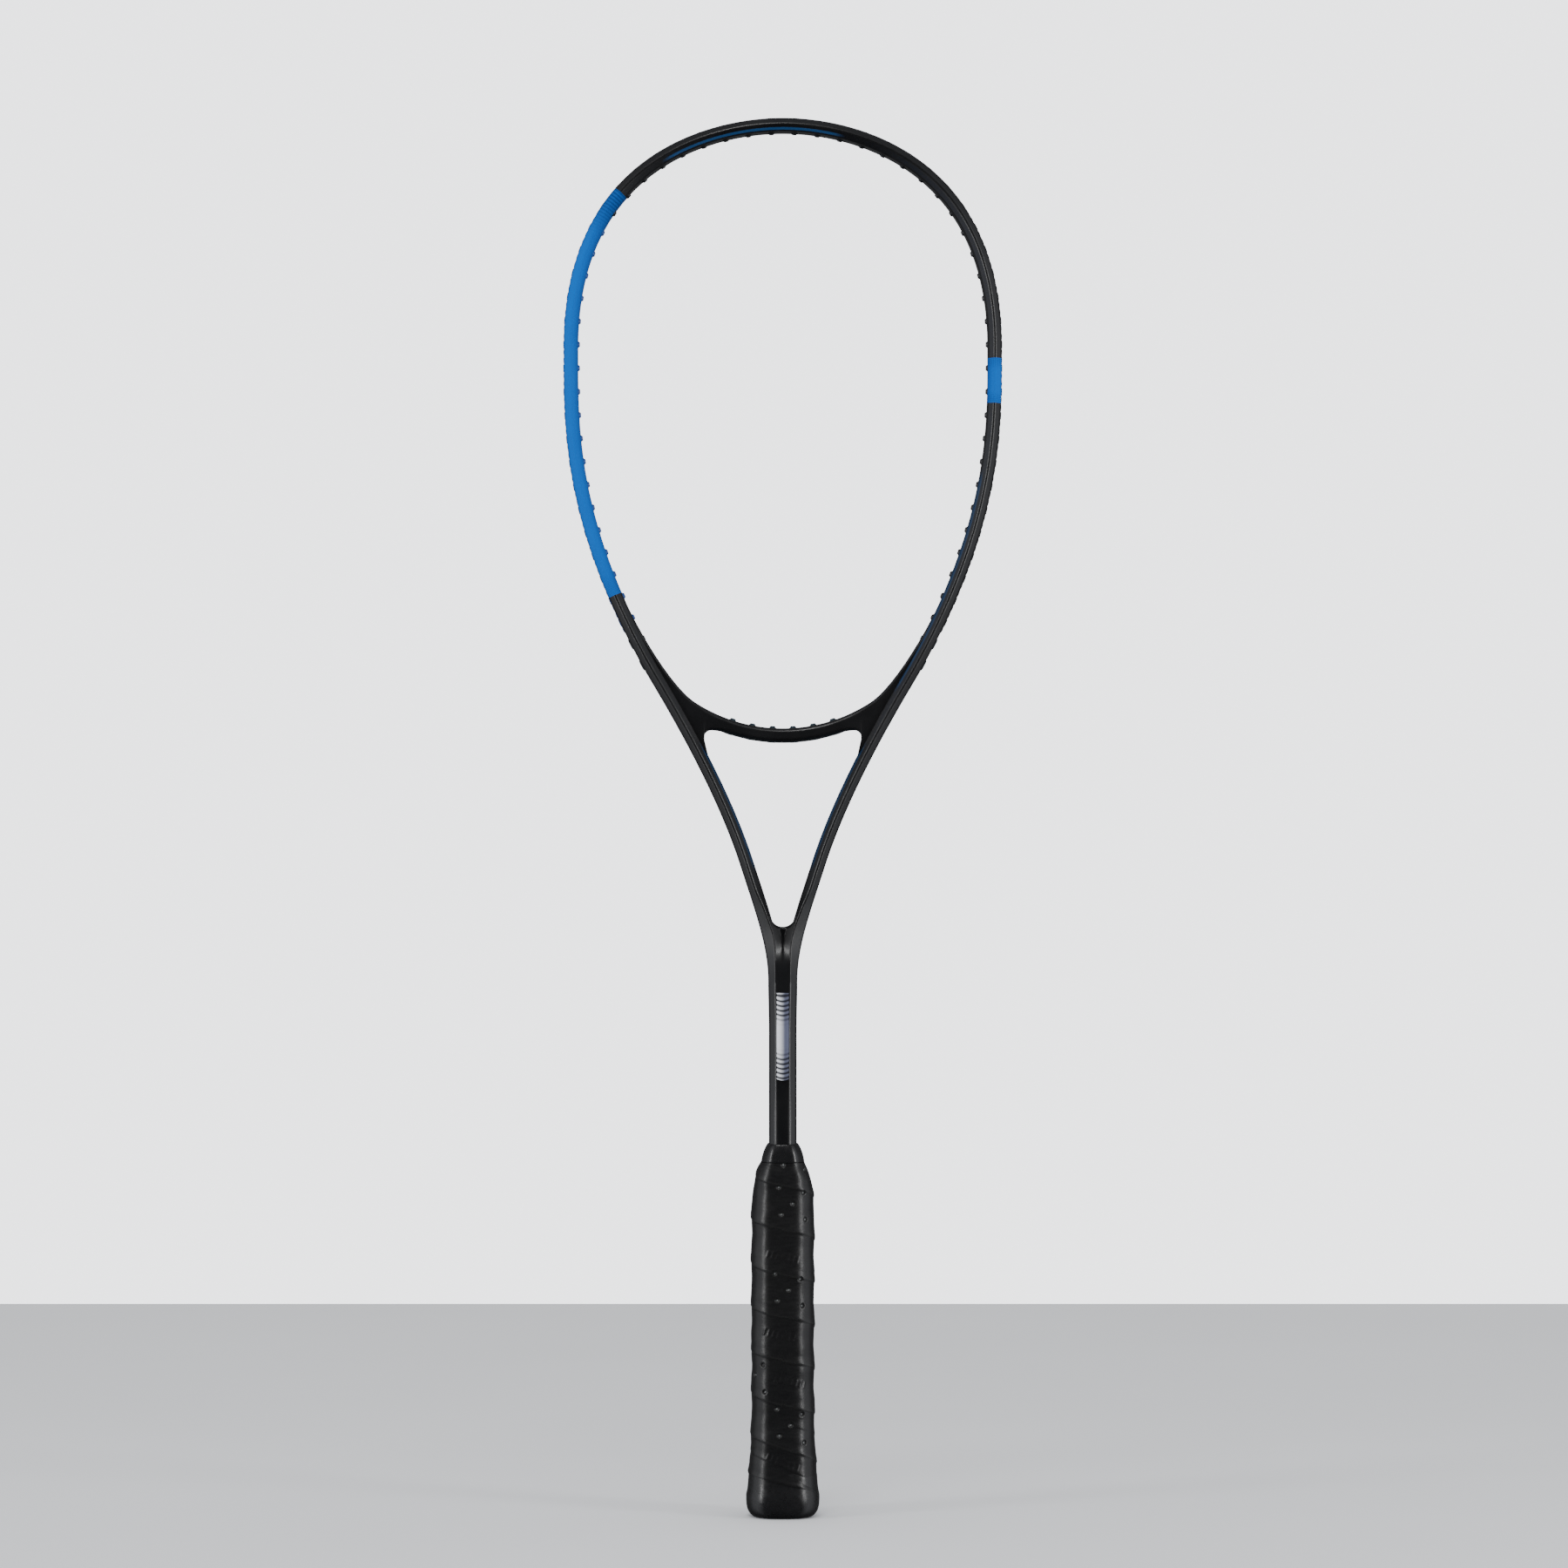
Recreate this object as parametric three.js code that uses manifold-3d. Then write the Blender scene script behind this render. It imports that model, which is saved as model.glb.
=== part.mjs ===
// Squash racket, unstrung: a moulded graphite frame with its grommet strips, and a wrapped handle.
// Millimetres. The butt stands on z = 0, +Z runs up the shaft, and the strings would lie in the XZ
// plane. The front of the racket faces -Y.
import * as THREE from 'three';
import { mergeVertices } from 'three/addons/utils/BufferGeometryUtils.js';
import Module from 'manifold-3d';

const wasm = await Module();
wasm.setup();

// ---------- Driving dimensions ----------

const overallLength = 685;
const headWidth = 215;
const gap = 0.3;          // between pieces that meet

// The frame tube, which is the same all round the head and down both legs
const memberWidth = 6.7;  // across the tube, in the plane of the strings
const beamDepth = 19;     // front to back
const sideHeight = 12.4;  // of the tube's flat sides, between the bevels
const ridgeWidth = 1;     // of the narrow flat between two bevels
const wall = 1;
const ridgeWall = 1.6;    // under the ridge, where the two bevels meet

// The strips of grommets, which lie in a groove round the outside of the head
const stripProud = 0.4;   // stands out of the frame
const stripThick = 1.3;
const stripWidth = 5.4;
const grooveDepth = stripThick - stripProud + gap;
const grooveWidth = stripWidth + 2 * gap;
const pitch = 11.6;       // from one string hole to the next
const bumperHoles = 9;    // on each side of the crown
const sideHoles = 18;     // in each side strip
const throatHoles = 2;    // single grommets at each side of the throat
const bridgeHoles = 6;
const bridgePitch = 10.4;
const barrelRadius = 1.45;
const boreRadius = 0.8;
const nubLength = 1;      // of the barrel that shows inside the head
const barrelSides = 6;

// The centreline of the right half: crown, widest point, shoulder of the throat, leg and fork
const crownHeight = overallLength - stripProud - memberWidth / 2;
const widest = new THREE.Vector2(headWidth / 2 - stripProud - memberWidth / 2, 573);
const throat = new THREE.Vector2(64.3, 415.3);
const throatLean = THREE.MathUtils.degToRad(29.2);  // from the vertical
const leg = new THREE.Vector2(17.7, 320);
const legLean = THREE.MathUtils.degToRad(17.8);
const fork = new THREE.Vector2(3.8, 262);           // where the legs reach the shaft
// How far the curve is drawn along its heading on each side of those points
const crownPull = 36;
const widestPull = { above: 90, below: 38 };
const throatPull = { above: 84, below: 9 };
const legPull = { above: 44, below: 24 };
const forkPull = 18;

// The bridge, an arc across the bottom of the head
const bridgeRadius = 82;
const bridgeHeight = 382.6;   // of its centreline, on the racket's axis
const bridgeReach = THREE.MathUtils.degToRad(49.5);
const bridgeDepth = 15;       // shallower than the frame tube, front to back
const bridgeSide = 11.8;      // of its flat sides
const cornerRadius = 3.4;     // of the throat opening's upper corners
const corner = new THREE.Vector2(35.2, 381.6);  // the middle of that radius

// The web between the legs, above the shaft
const webTop = 288.6;         // lowest point of its round upper edge
const webRadius = 5.2;
const webFoot = 268;
const webReach = 8;           // half its width, which runs on into the legs

// The shaft, with one cell below each leg
const shaftWidth = 13.6;
const shaftFlat = 7.7;        // width of its front and back faces
const shaftSide = 12.8;       // depth of its side faces
const shaftFoot = 4;          // height of its lower end, inside the butt cap
const shaftTop = fork.y - gap;
const rib = 1.4;              // between the two cells

// The handle. Each station is a height, a half width and a half depth of the finished grip.
const buttStations = [
  [0, 13.4, 12], [0.8, 15.2, 13.7], [2.2, 16.6, 15], [4.5, 17.6, 16], [8, 18, 16.4], [13.5, 18, 16.4],
  [17, 17.2, 15.65],
];
const gripSize = [15.8, 14.2];
const gripStraight = [48, 149];   // heights between which the grip keeps its size
const gripStations = [
  ...buttStations.slice(-1), [26, 16.65, 15.1], [36, 16.15, 14.55],
  ...gripStraight.map((z) => [z, ...gripSize]),
  [156, 15.3, 13.95], [162, 14.6, 13.65], [168, 13.3, 13.1], [173.6, 10.9, 12.1],
];
const collarStations = [
  [173.9, 10.7, 12.05], [177, 10, 11.8], [180, 8.95, 11.15], [182.6, 7.9, 10.5],
];
const frontShare = 0.6;       // of the width that the front flat takes
const sideShare = 0.5;        // of the depth that the side flats take
const wrapThick = 1.8;
const underWrap = wrapThick + gap;
const palletTop = 168;
const capFloor = 3;
const skirtFoot = 15;         // where the cap's skirt grows out of its body
const skirtTop = 33;
const tapeThick = 0.5;
const tapeBand = [palletTop + gap, 176];

const badgeSize = [6.1, 0.4, 42.2];
const badgeBow = 1;           // of its curved ends
const badgeHeight = 235.5;    // of its middle
const badgeDepth = -(beamDepth / 2 + gap / 4 + badgeSize[1] / 2);  // just clear of the shaft's face

const stapleWire = 0.7;
const stapleCrown = 8;
const stapleLeg = 5;
const stapleHeight = 21;

// ---------- Solids ----------

function solid(geometry) {
  const bare = geometry.clone();
  bare.deleteAttribute('normal');
  bare.deleteAttribute('uv');
  const merged = mergeVertices(bare, 1e-4);
  const vertProperties = new Float32Array(merged.attributes.position.array);
  const triVerts = new Uint32Array(merged.index.array);
  return new wasm.Manifold(new wasm.Mesh({ numProp: 3, vertProperties, triVerts }));
}

function part(name, shape, finish) {
  const mesh = shape.getMesh();
  const geometry = new THREE.BufferGeometry();
  geometry.setAttribute('position', new THREE.BufferAttribute(mesh.vertProperties, 3));
  geometry.setIndex(new THREE.BufferAttribute(mesh.triVerts, 1));
  geometry.computeVertexNormals();
  const made = new THREE.Mesh(geometry, new THREE.MeshStandardMaterial(finish));
  made.name = name;
  return made;
}

function shapeOf(points) {
  return new THREE.Shape(points.map(([x, y]) => new THREE.Vector2(x, y)));
}

function block(x0, x1, y0, y1, z0, z1) {
  const box = new THREE.BoxGeometry(x1 - x0, y1 - y0, z1 - z0);
  return solid(box.translate((x0 + x1) / 2, (y0 + y1) / 2, (z0 + z1) / 2));
}

function mirrored(shape) {
  return shape.mirror([1, 0, 0]);
}

// ---------- The line of the frame ----------

// Points of a line at chosen lengths along it. A sweep takes one step from each length to the next.
class Stations extends THREE.Curve {
  constructor(line, lengths) {
    super();
    this.line = line;
    this.lengths = lengths;
  }

  getPoint(t) {
    const last = this.lengths.length - 1;
    const i = Math.min(Math.floor(t * last), last - 1);
    const length = THREE.MathUtils.lerp(this.lengths[i], this.lengths[i + 1], t * last - i);
    return this.line.getPoint(length / this.line.getLength());
  }

  getUtoTmapping(u) {
    return u;
  }
}

function heading(lean) {
  return new THREE.Vector2(-Math.sin(lean), -Math.cos(lean));
}

// One half of the hairpin as Bezier pieces, from the crown down to the fork
function halfPieces(side) {
  const down = heading(throatLean);
  const legDown = heading(legLean);
  const outline = [
    [[0, crownHeight], [crownPull, crownHeight], [widest.x, widest.y + widestPull.above],
      widest.toArray()],
    [widest.toArray(), [widest.x, widest.y - widestPull.below],
      throat.clone().addScaledVector(down, -throatPull.above).toArray(), throat.toArray()],
    [throat.toArray(), throat.clone().addScaledVector(down, throatPull.below).toArray(),
      leg.clone().addScaledVector(legDown, -legPull.above).toArray(), leg.toArray()],
    [leg.toArray(), leg.clone().addScaledVector(legDown, legPull.below).toArray(),
      [fork.x, fork.y + forkPull], fork.toArray()],
  ];
  return outline.map((piece) => new THREE.CubicBezierCurve3(
    ...piece.map(([x, z]) => new THREE.Vector3(side * x, 0, z)),
  ));
}

// The hairpin runs up the left leg, over the crown and down the right leg
const hairpin = new THREE.CurvePath();
for (const piece of halfPieces(-1).reverse()) {
  hairpin.add(new THREE.CubicBezierCurve3(piece.v3, piece.v2, piece.v1, piece.v0));
}
for (const piece of halfPieces(1)) {
  hairpin.add(piece);
}
const head = { line: hairpin, middle: hairpin.getLength() / 2, pitch };

// The bridge runs from right to left, so that its inside is on the same hand as the hairpin's
class BridgeArc extends THREE.Curve {
  getPoint(t) {
    const angle = THREE.MathUtils.lerp(bridgeReach, -bridgeReach, t);
    const x = bridgeRadius * Math.sin(angle);
    return new THREE.Vector3(x, 0, bridgeHeight + bridgeRadius * (1 - Math.cos(angle)));
  }
}
const arc = new BridgeArc();
const bridge = { line: arc, middle: arc.getLength() / 2, pitch: bridgePitch };

// Sweeps a section between two lengths from the middle of a member, with a step at every whole
// pitch. The section's x is towards the front and its y towards the strings.
function sweep(section, member, start, end) {
  const lengths = [member.middle + start];
  for (let k = Math.floor(start / member.pitch) + 1; k * member.pitch < end; k += 1) {
    lengths.push(member.middle + k * member.pitch);
  }
  lengths.push(member.middle + end);
  return solid(new THREE.ExtrudeGeometry(section, {
    steps: lengths.length - 1,
    extrudePath: new Stations(member.line, lengths),
    bevelEnabled: false,
  }));
}

// ---------- Sections of the frame tube ----------

function beamSection(grow, deep = beamDepth, sides = sideHeight) {
  const half = memberWidth / 2 + grow;
  const depth = deep / 2 + grow;
  const side = sides / 2 + grow / 2;
  const ridge = ridgeWidth / 2 + grow / 2;
  return shapeOf([
    [depth, -ridge], [depth, ridge], [side, half], [-side, half],
    [-depth, ridge], [-depth, -ridge], [-side, -half], [side, -half],
  ]);
}

function hollowBeam(deep, sides) {
  const inside = memberWidth / 2 - wall;
  const outside = memberWidth / 2 - grooveDepth - wall;
  const depth = deep / 2 - ridgeWall;
  const side = sides / 2 - wall / 2;
  const middle = (inside - outside) / 2;
  const section = beamSection(0, deep, sides);
  section.holes.push(shapeOf([
    [depth, middle], [side, -outside], [-side, -outside], [-depth, middle], [-side, inside],
    [side, inside],
  ]));
  return section;
}

// A flat band on the outside of the tube, between two distances from its centreline
function outerBand(width, low, high) {
  return shapeOf([
    [width / 2, -low], [-width / 2, -low], [-width / 2, -high], [width / 2, -high],
  ]);
}

const outerFace = memberWidth / 2;
const stripBand = outerBand(stripWidth, outerFace + stripProud - stripThick, outerFace + stripProud);
const grooveBand = outerBand(grooveWidth, outerFace - grooveDepth, outerFace + stripThick);

// ---------- String holes and grommet barrels ----------

// A six-sided rod across a member, in the middle of its kth pitch
function rodAt({ line, middle, pitch: step }, k, radius, from, to) {
  const ends = [k, k + 1].map((n) => line.getPoint((middle + n * step) / line.getLength()));
  const along = ends[1].clone().sub(ends[0]).normalize();
  const front = new THREE.Vector3(0, -1, 0);
  const inward = new THREE.Vector3().crossVectors(along, front);
  const rod = new THREE.CylinderGeometry(radius, radius, to - from, barrelSides);
  rod.rotateY(Math.PI / barrelSides);
  const centre = ends[0].lerp(ends[1], 0.5).addScaledVector(inward, (from + to) / 2);
  const turn = new THREE.Matrix4().makeBasis(along, inward, along.clone().cross(inward));
  return solid(rod.applyMatrix4(turn.setPosition(centre)));
}

const through = 2 * memberWidth;
const drillRadius = barrelRadius + 1.2 * gap;

function drilled(tube, member, holes) {
  return holes.reduce(
    (body, k) => body.subtract(rodAt(member, k, drillRadius, -through, through)),
    tube,
  );
}

// A strip with one barrel for each hole, and a bore through each for the string
function strip(member, start, end, holes) {
  const root = -(outerFace + stripProud - stripThick / 2);
  let body = sweep(stripBand, member, start, end);
  for (const k of holes) {
    body = body.add(rodAt(member, k, barrelRadius, root, outerFace + nubLength));
  }
  for (const k of holes) {
    body = body.subtract(rodAt(member, k, boreRadius, -through, through));
  }
  return body;
}

function range(from, count) {
  return Array.from({ length: count }, (_, i) => from + i);
}

// The same holes on the left of a line's middle as on the right
function bothSides(holes) {
  return [...holes.map((k) => -1 - k), ...holes];
}

const bumperEnd = bumperHoles * pitch;
const sideEnd = bumperEnd + sideHoles * pitch;
const grooveEnd = sideEnd + throatHoles * pitch;
const bumperSet = bothSides(range(0, bumperHoles));
const sideSet = range(bumperHoles, sideHoles);
const throatSet = range(bumperHoles + sideHoles, throatHoles);
const headSet = [...bumperSet, ...bothSides(sideSet), ...bothSides(throatSet)];
const bridgeSet = bothSides(range(0, bridgeHoles / 2));
const bridgeGroove = (bridgeHoles / 2) * bridgePitch;

// ---------- Frame ----------

const envelope = sweep(beamSection(gap), head, -head.middle, head.middle);

function hairpinTube() {
  const tube = sweep(hollowBeam(beamDepth, sideHeight), head, -head.middle, head.middle);
  const groove = sweep(grooveBand, head, -grooveEnd, grooveEnd);
  return drilled(tube.subtract(groove), head, headSet);
}

// A plate between the front and back bevels, as thick as given, from an outline in the XZ plane
function plateOf(outline, thick, curveSegments) {
  const plate = new THREE.ExtrudeGeometry(outline, { depth: thick, bevelEnabled: false, curveSegments });
  return solid(plate.rotateX(Math.PI / 2).translate(0, thick / 2, 0));
}

// Fills the corner below one end of the bridge, up to a round edge that runs out along the leg.
// The outline's last two points lie inside the leg, which is cut away later.
function cornerFillet() {
  const under = bridgeRadius + memberWidth / 2;
  const underside = (x) => bridgeHeight + bridgeRadius - Math.sqrt(under ** 2 - x ** 2);
  const start = corner.x - 10;
  const edgeEnd = -0.2;
  const tail = [corner.x + 1.8, corner.y - 7];
  const inLeg = [[corner.x + 9, corner.y - 5], [corner.x + 17, corner.y + 14]];
  const outline = new THREE.Shape();
  outline.moveTo(start, underside(start) + wall);
  outline.lineTo(start, underside(start) + gap);
  outline.lineTo(corner.x, corner.y + cornerRadius);
  outline.absarc(corner.x, corner.y, cornerRadius, Math.PI / 2, edgeEnd, true);
  outline.lineTo(...tail);
  for (const point of inLeg) {
    outline.lineTo(...point);
  }
  return plateOf(outline, bridgeSide, 5);
}

function throatBridge() {
  const tube = sweep(hollowBeam(bridgeDepth, bridgeSide), bridge, -bridge.middle, bridge.middle);
  const groove = sweep(grooveBand, bridge, -bridgeGroove, bridgeGroove);
  const fillet = cornerFillet();
  const body = tube.add(fillet).add(mirrored(fillet)).subtract(groove).subtract(envelope);
  return drilled(drilled(body, bridge, bridgeSet), head, bothSides(throatSet));
}

// The web that joins the legs just above the shaft, with a round top edge
function forkWeb() {
  const rim = webTop + webRadius;
  const outline = new THREE.Shape();
  outline.moveTo(-fork.x, webFoot);
  outline.lineTo(fork.x, webFoot);
  outline.lineTo(webReach, rim);
  outline.lineTo(webRadius, rim);
  outline.absarc(0, rim, webRadius, 0, -Math.PI, true);
  outline.lineTo(-webReach, rim);
  return plateOf(outline, sideHeight, 8).subtract(envelope);
}

function shaftOutline(grow) {
  const x = shaftWidth / 2 + grow;
  const y = beamDepth / 2 + grow;
  const flat = shaftFlat / 2 + grow / 2;
  const side = shaftSide / 2 + grow / 2;
  return [[flat, -y], [x, -side], [x, side], [flat, y], [-flat, y], [-x, side], [-x, -side], [-flat, -y]];
}

function shaftRod(outline, low, high) {
  const rod = new THREE.ExtrudeGeometry(shapeOf(outline), { depth: high - low, bevelEnabled: false });
  return solid(rod.translate(0, 0, low));
}

function shaftTube() {
  const x = shaftWidth / 2 - wall;
  const y = beamDepth / 2 - wall;
  const flat = shaftFlat / 2 - wall / 2;
  const side = shaftSide / 2 - wall / 2;
  const outline = [[rib / 2, -y], [flat, -y], [x, -side], [x, side], [flat, y], [rib / 2, y]];
  const cell = shaftRod(outline, 0, overallLength);
  return shaftRod(shaftOutline(0), shaftFoot, shaftTop).subtract(cell).subtract(mirrored(cell));
}

// ---------- Handle ----------

// An eight-sided column through a list of stations, drawn in on every side by inset
function column(stations, inset) {
  const unit = shapeOf([
    [frontShare, -1], [1, -sideShare], [1, sideShare], [frontShare, 1],
    [-frontShare, 1], [-1, sideShare], [-1, -sideShare], [-frontShare, -1],
  ]);
  const steps = stations.length - 1;
  const geometry = new THREE.ExtrudeGeometry(unit, { depth: steps, steps, bevelEnabled: false });
  const position = geometry.attributes.position;
  for (let i = 0; i < position.count; i += 1) {
    const [z, halfWidth, halfDepth] = stations[Math.round(position.getZ(i))];
    position.setXYZ(i, position.getX(i) * (halfWidth - inset), position.getY(i) * (halfDepth - inset), z);
  }
  return solid(geometry);
}

// The stations between two heights, with a new one at each end
function between(stations, low, high) {
  const at = (z) => {
    const i = stations.findIndex((station, n) => n > 0 && station[0] >= z);
    const [before, after] = [stations[i - 1], stations[i]];
    const share = (z - before[0]) / (after[0] - before[0]);
    return before.map((value, n) => THREE.MathUtils.lerp(value, after[n], share));
  };
  return [at(low), ...stations.filter(([z]) => z > low && z < high), at(high)];
}

const [gripFoot, ...footSize] = gripStations[0];
const gripTop = gripStations.at(-1)[0];
const straight = (z) => [z, ...gripSize];

function shaftEnvelope(grow, low, high) {
  return shaftRod(shaftOutline(grow), low, high);
}

// The crown and two legs of one butt staple, on the right-hand side
function staple(grow) {
  const [, halfWidth] = between(gripStations, stapleHeight, skirtTop)[0];
  const face = halfWidth - underWrap - gap;
  const wire = stapleWire / 2 + grow;
  const z = [stapleHeight - wire, stapleHeight + wire];
  const tip = face - stapleLeg - grow;
  let body = block(face - stapleWire - grow, face + 4 * grow, -stapleCrown / 2 - grow,
    stapleCrown / 2 + grow, ...z);
  for (const y of [-1, 1]) {
    const middle = y * (stapleCrown - stapleWire) / 2;
    body = body.add(block(tip, face, middle - wire, middle + wire, ...z));
  }
  return body;
}

const stapleRoom = staple(gap);

function pallet(hand) {
  const upper = between(gripStations, gripStraight[1], palletTop);
  const core = column([straight(shaftFoot), ...upper], underWrap);
  const wide = 2 * headWidth;
  const other = hand < 0
    ? block(-wide, wide, -gap / 2, wide, -1, overallLength)
    : block(-wide, wide, -wide, gap / 2, -1, overallLength);
  return core
    .subtract(other)
    .subtract(shaftEnvelope(gap, -1, overallLength))
    .subtract(stapleRoom)
    .subtract(mirrored(stapleRoom));
}

function buttCap() {
  const aboveFoot = between(gripStations, gripFoot + gap, skirtTop);
  const skirt = column([[skirtFoot, ...footSize], ...aboveFoot], underWrap);
  const cavity = column([straight(capFloor), straight(skirtTop + 1)], underWrap - gap);
  return column(buttStations, 0)
    .add(skirt)
    .subtract(cavity)
    .subtract(stapleRoom)
    .subtract(mirrored(stapleRoom));
}

function gripWrap() {
  const stations = between(gripStations, gripFoot + gap, gripTop);
  const bore = [[0, ...stations[0].slice(1)], ...stations, [gripTop + 1, ...stations.at(-1).slice(1)]];
  return column(stations, 0).subtract(column(bore, wrapThick));
}

function finishingTape() {
  const [low, high] = tapeBand;
  return shaftEnvelope(gap + tapeThick, low, high).subtract(shaftEnvelope(gap, 0, overallLength));
}

function gripCollar() {
  return column(collarStations, 0)
    .subtract(shaftEnvelope(gap, 0, overallLength))
    .subtract(shaftEnvelope(2 * gap + tapeThick, 0, tapeBand[1] + gap));
}

function shaftBadge() {
  const [width, thick, height] = badgeSize;
  const outline = new THREE.Shape();
  const halfHeight = height / 2;
  const halfWidth = width / 2;
  outline.moveTo(-halfWidth, -halfHeight);
  outline.quadraticCurveTo(0, -halfHeight - badgeBow, halfWidth, -halfHeight);
  outline.lineTo(halfWidth, halfHeight);
  outline.quadraticCurveTo(0, halfHeight - badgeBow, -halfWidth, halfHeight);
  return plateOf(outline, thick, 6).translate([0, badgeDepth, badgeHeight]);
}

// ---------- Materials ----------

const graphite = { color: 0x14151a, roughness: 0.35, metalness: 0.1 };
const nylon = { color: 0x0c0d10, roughness: 0.5, metalness: 0 };
const blueNylon = { color: 0x0a5fb0, roughness: 0.5, metalness: 0 };
const foam = { color: 0x6d6a60, roughness: 0.8, metalness: 0 };
const cap = { color: 0x0b0b0c, roughness: 0.4, metalness: 0 };
const tape = { color: 0x101012, roughness: 0.6, metalness: 0 };
const rubber = { color: 0x0d0d0f, roughness: 0.35, metalness: 0 };
const silver = { color: 0xb8bdc8, roughness: 0.25, metalness: 0.9 };
const steel = { color: 0x9a9da2, roughness: 0.4, metalness: 0.9 };

// ---------- The racket ----------

const racket = new THREE.Group();
racket.name = 'squash_racket';

racket.add(
  part('hairpin_tube', hairpinTube(), graphite),
  part('throat_bridge', throatBridge(), graphite),
  part('fork_web', forkWeb(), graphite),
  part('shaft_tube', shaftTube(), graphite),
  part('shaft_badge', shaftBadge(), silver),
);

const crownStrip = strip(head, -bumperEnd + gap, bumperEnd - gap, bumperSet);
const sideStrip = strip(head, bumperEnd + gap, sideEnd - gap, sideSet);
const underStrip = strip(bridge, -bridgeGroove + gap, bridgeGroove - gap, bridgeSet);
racket.add(
  part('bumper_guard', crownStrip, nylon),
  part('grommet_strip_left', mirrored(sideStrip), blueNylon),
  part('grommet_strip_right', sideStrip, nylon),
  part('grommet_strip_bridge', underStrip, nylon),
);

for (const [n, level] of ['upper', 'lower'].entries()) {
  const middle = (throatSet[n] + 0.5) * pitch;
  const single = strip(head, middle - stripWidth / 2, middle + stripWidth / 2, [throatSet[n]]);
  racket.add(
    part(`throat_grommet_left_${level}`, mirrored(single), nylon),
    part(`throat_grommet_right_${level}`, single, nylon),
  );
}

racket.add(
  part('pallet_front', pallet(-1), foam),
  part('pallet_rear', pallet(1), foam),
  part('butt_cap', buttCap(), cap),
  part('butt_staple_left', mirrored(staple(0)), steel),
  part('butt_staple_right', staple(0), steel),
  part('grip_wrap', gripWrap(), tape),
  part('finishing_tape', finishingTape(), tape),
  part('grip_collar', gripCollar(), rubber),
);

export default racket;
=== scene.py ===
"""An unstrung squash racket: the visible pieces, their materials, and a plain studio around them.

The racket's sizes are in millimetres, and Shape.make() turns them into metres. The studio's are in
metres. The butt stands on z = 0, +Z runs up the shaft, and the front of the racket faces -Y.
"""

import math

import bmesh
import bpy
import numpy as np
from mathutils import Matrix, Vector, noise

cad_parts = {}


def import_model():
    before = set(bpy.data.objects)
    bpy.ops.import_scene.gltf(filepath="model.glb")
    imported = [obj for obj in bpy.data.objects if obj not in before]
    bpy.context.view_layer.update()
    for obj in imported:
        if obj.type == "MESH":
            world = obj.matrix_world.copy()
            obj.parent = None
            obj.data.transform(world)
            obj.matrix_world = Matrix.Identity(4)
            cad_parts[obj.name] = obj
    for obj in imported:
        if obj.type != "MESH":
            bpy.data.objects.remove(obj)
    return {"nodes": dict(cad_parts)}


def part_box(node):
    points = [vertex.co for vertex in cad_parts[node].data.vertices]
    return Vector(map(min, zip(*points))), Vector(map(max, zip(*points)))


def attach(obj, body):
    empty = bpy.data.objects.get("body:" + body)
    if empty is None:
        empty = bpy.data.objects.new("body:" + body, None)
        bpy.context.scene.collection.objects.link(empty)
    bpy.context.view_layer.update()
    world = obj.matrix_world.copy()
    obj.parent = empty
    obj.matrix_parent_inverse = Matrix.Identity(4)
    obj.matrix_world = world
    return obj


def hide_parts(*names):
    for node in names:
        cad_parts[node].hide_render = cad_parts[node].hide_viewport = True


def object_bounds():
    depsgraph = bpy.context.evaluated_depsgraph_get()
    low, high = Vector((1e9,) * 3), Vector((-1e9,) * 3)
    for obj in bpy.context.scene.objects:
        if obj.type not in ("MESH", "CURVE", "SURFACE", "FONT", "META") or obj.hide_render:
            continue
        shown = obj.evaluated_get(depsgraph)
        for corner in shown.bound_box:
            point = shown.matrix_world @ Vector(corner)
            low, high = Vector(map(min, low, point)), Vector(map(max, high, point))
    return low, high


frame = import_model()
cad_box = [list(corner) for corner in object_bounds()]

MM = 0.001


def node_box(name):
    """The low and high corners of a CAD node, in millimetres."""
    low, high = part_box(name)
    return np.array(low) / MM, np.array(high) / MM


# ---------- Dimensions that the pieces share ----------

MEMBER_WIDTH = 6.7  # of the frame tube, in the plane of the strings
BEAM_DEPTH = 19.0  # of the frame tube, front to back
STRIP_PROUD = 0.4  # how far a grommet strip stands out of the frame
STRIP_THICK = 1.3
STRIP_WIDTH = 5.4
STRIP_GAP = 0.3  # round a strip, in its groove
PITCH = 11.6  # from one string hole to the next, round the hoop
BUMPER_HOLES = 9  # on each side of the crown
SIDE_HOLES = 18  # in each side strip
THROAT_HOLES = 2  # single grommets at each side of the throat
BRIDGE_HOLES = 6
BRIDGE_PITCH = 10.4
BRIDGE_RADIUS = 82.0  # of the bridge's centreline

GROOVE_DEPTH = STRIP_THICK - STRIP_PROUD + STRIP_GAP
HEAD_ENDS = BUMPER_HOLES * PITCH  # runs from the crown to the ends of the bumper,
SIDE_ENDS = HEAD_ENDS + SIDE_HOLES * PITCH  # of the side strips
GROOVE_END = SIDE_ENDS + THROAT_HOLES * PITCH  # and of the groove
OUTER_FACE = MEMBER_WIDTH / 2
HALF_WIDTH = cad_box[1][0] / MM
TOP = cad_box[1][2] / MM
FORK_HEIGHT = node_box("hairpin_tube")[0][2]
BRIDGE_BOTTOM = node_box("grommet_strip_bridge")[0][2] + STRIP_PROUD
BRIDGE_CENTRE = BRIDGE_BOTTOM + OUTER_FACE + BRIDGE_RADIUS

# ---------- Meshes from rings of points ----------


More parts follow.
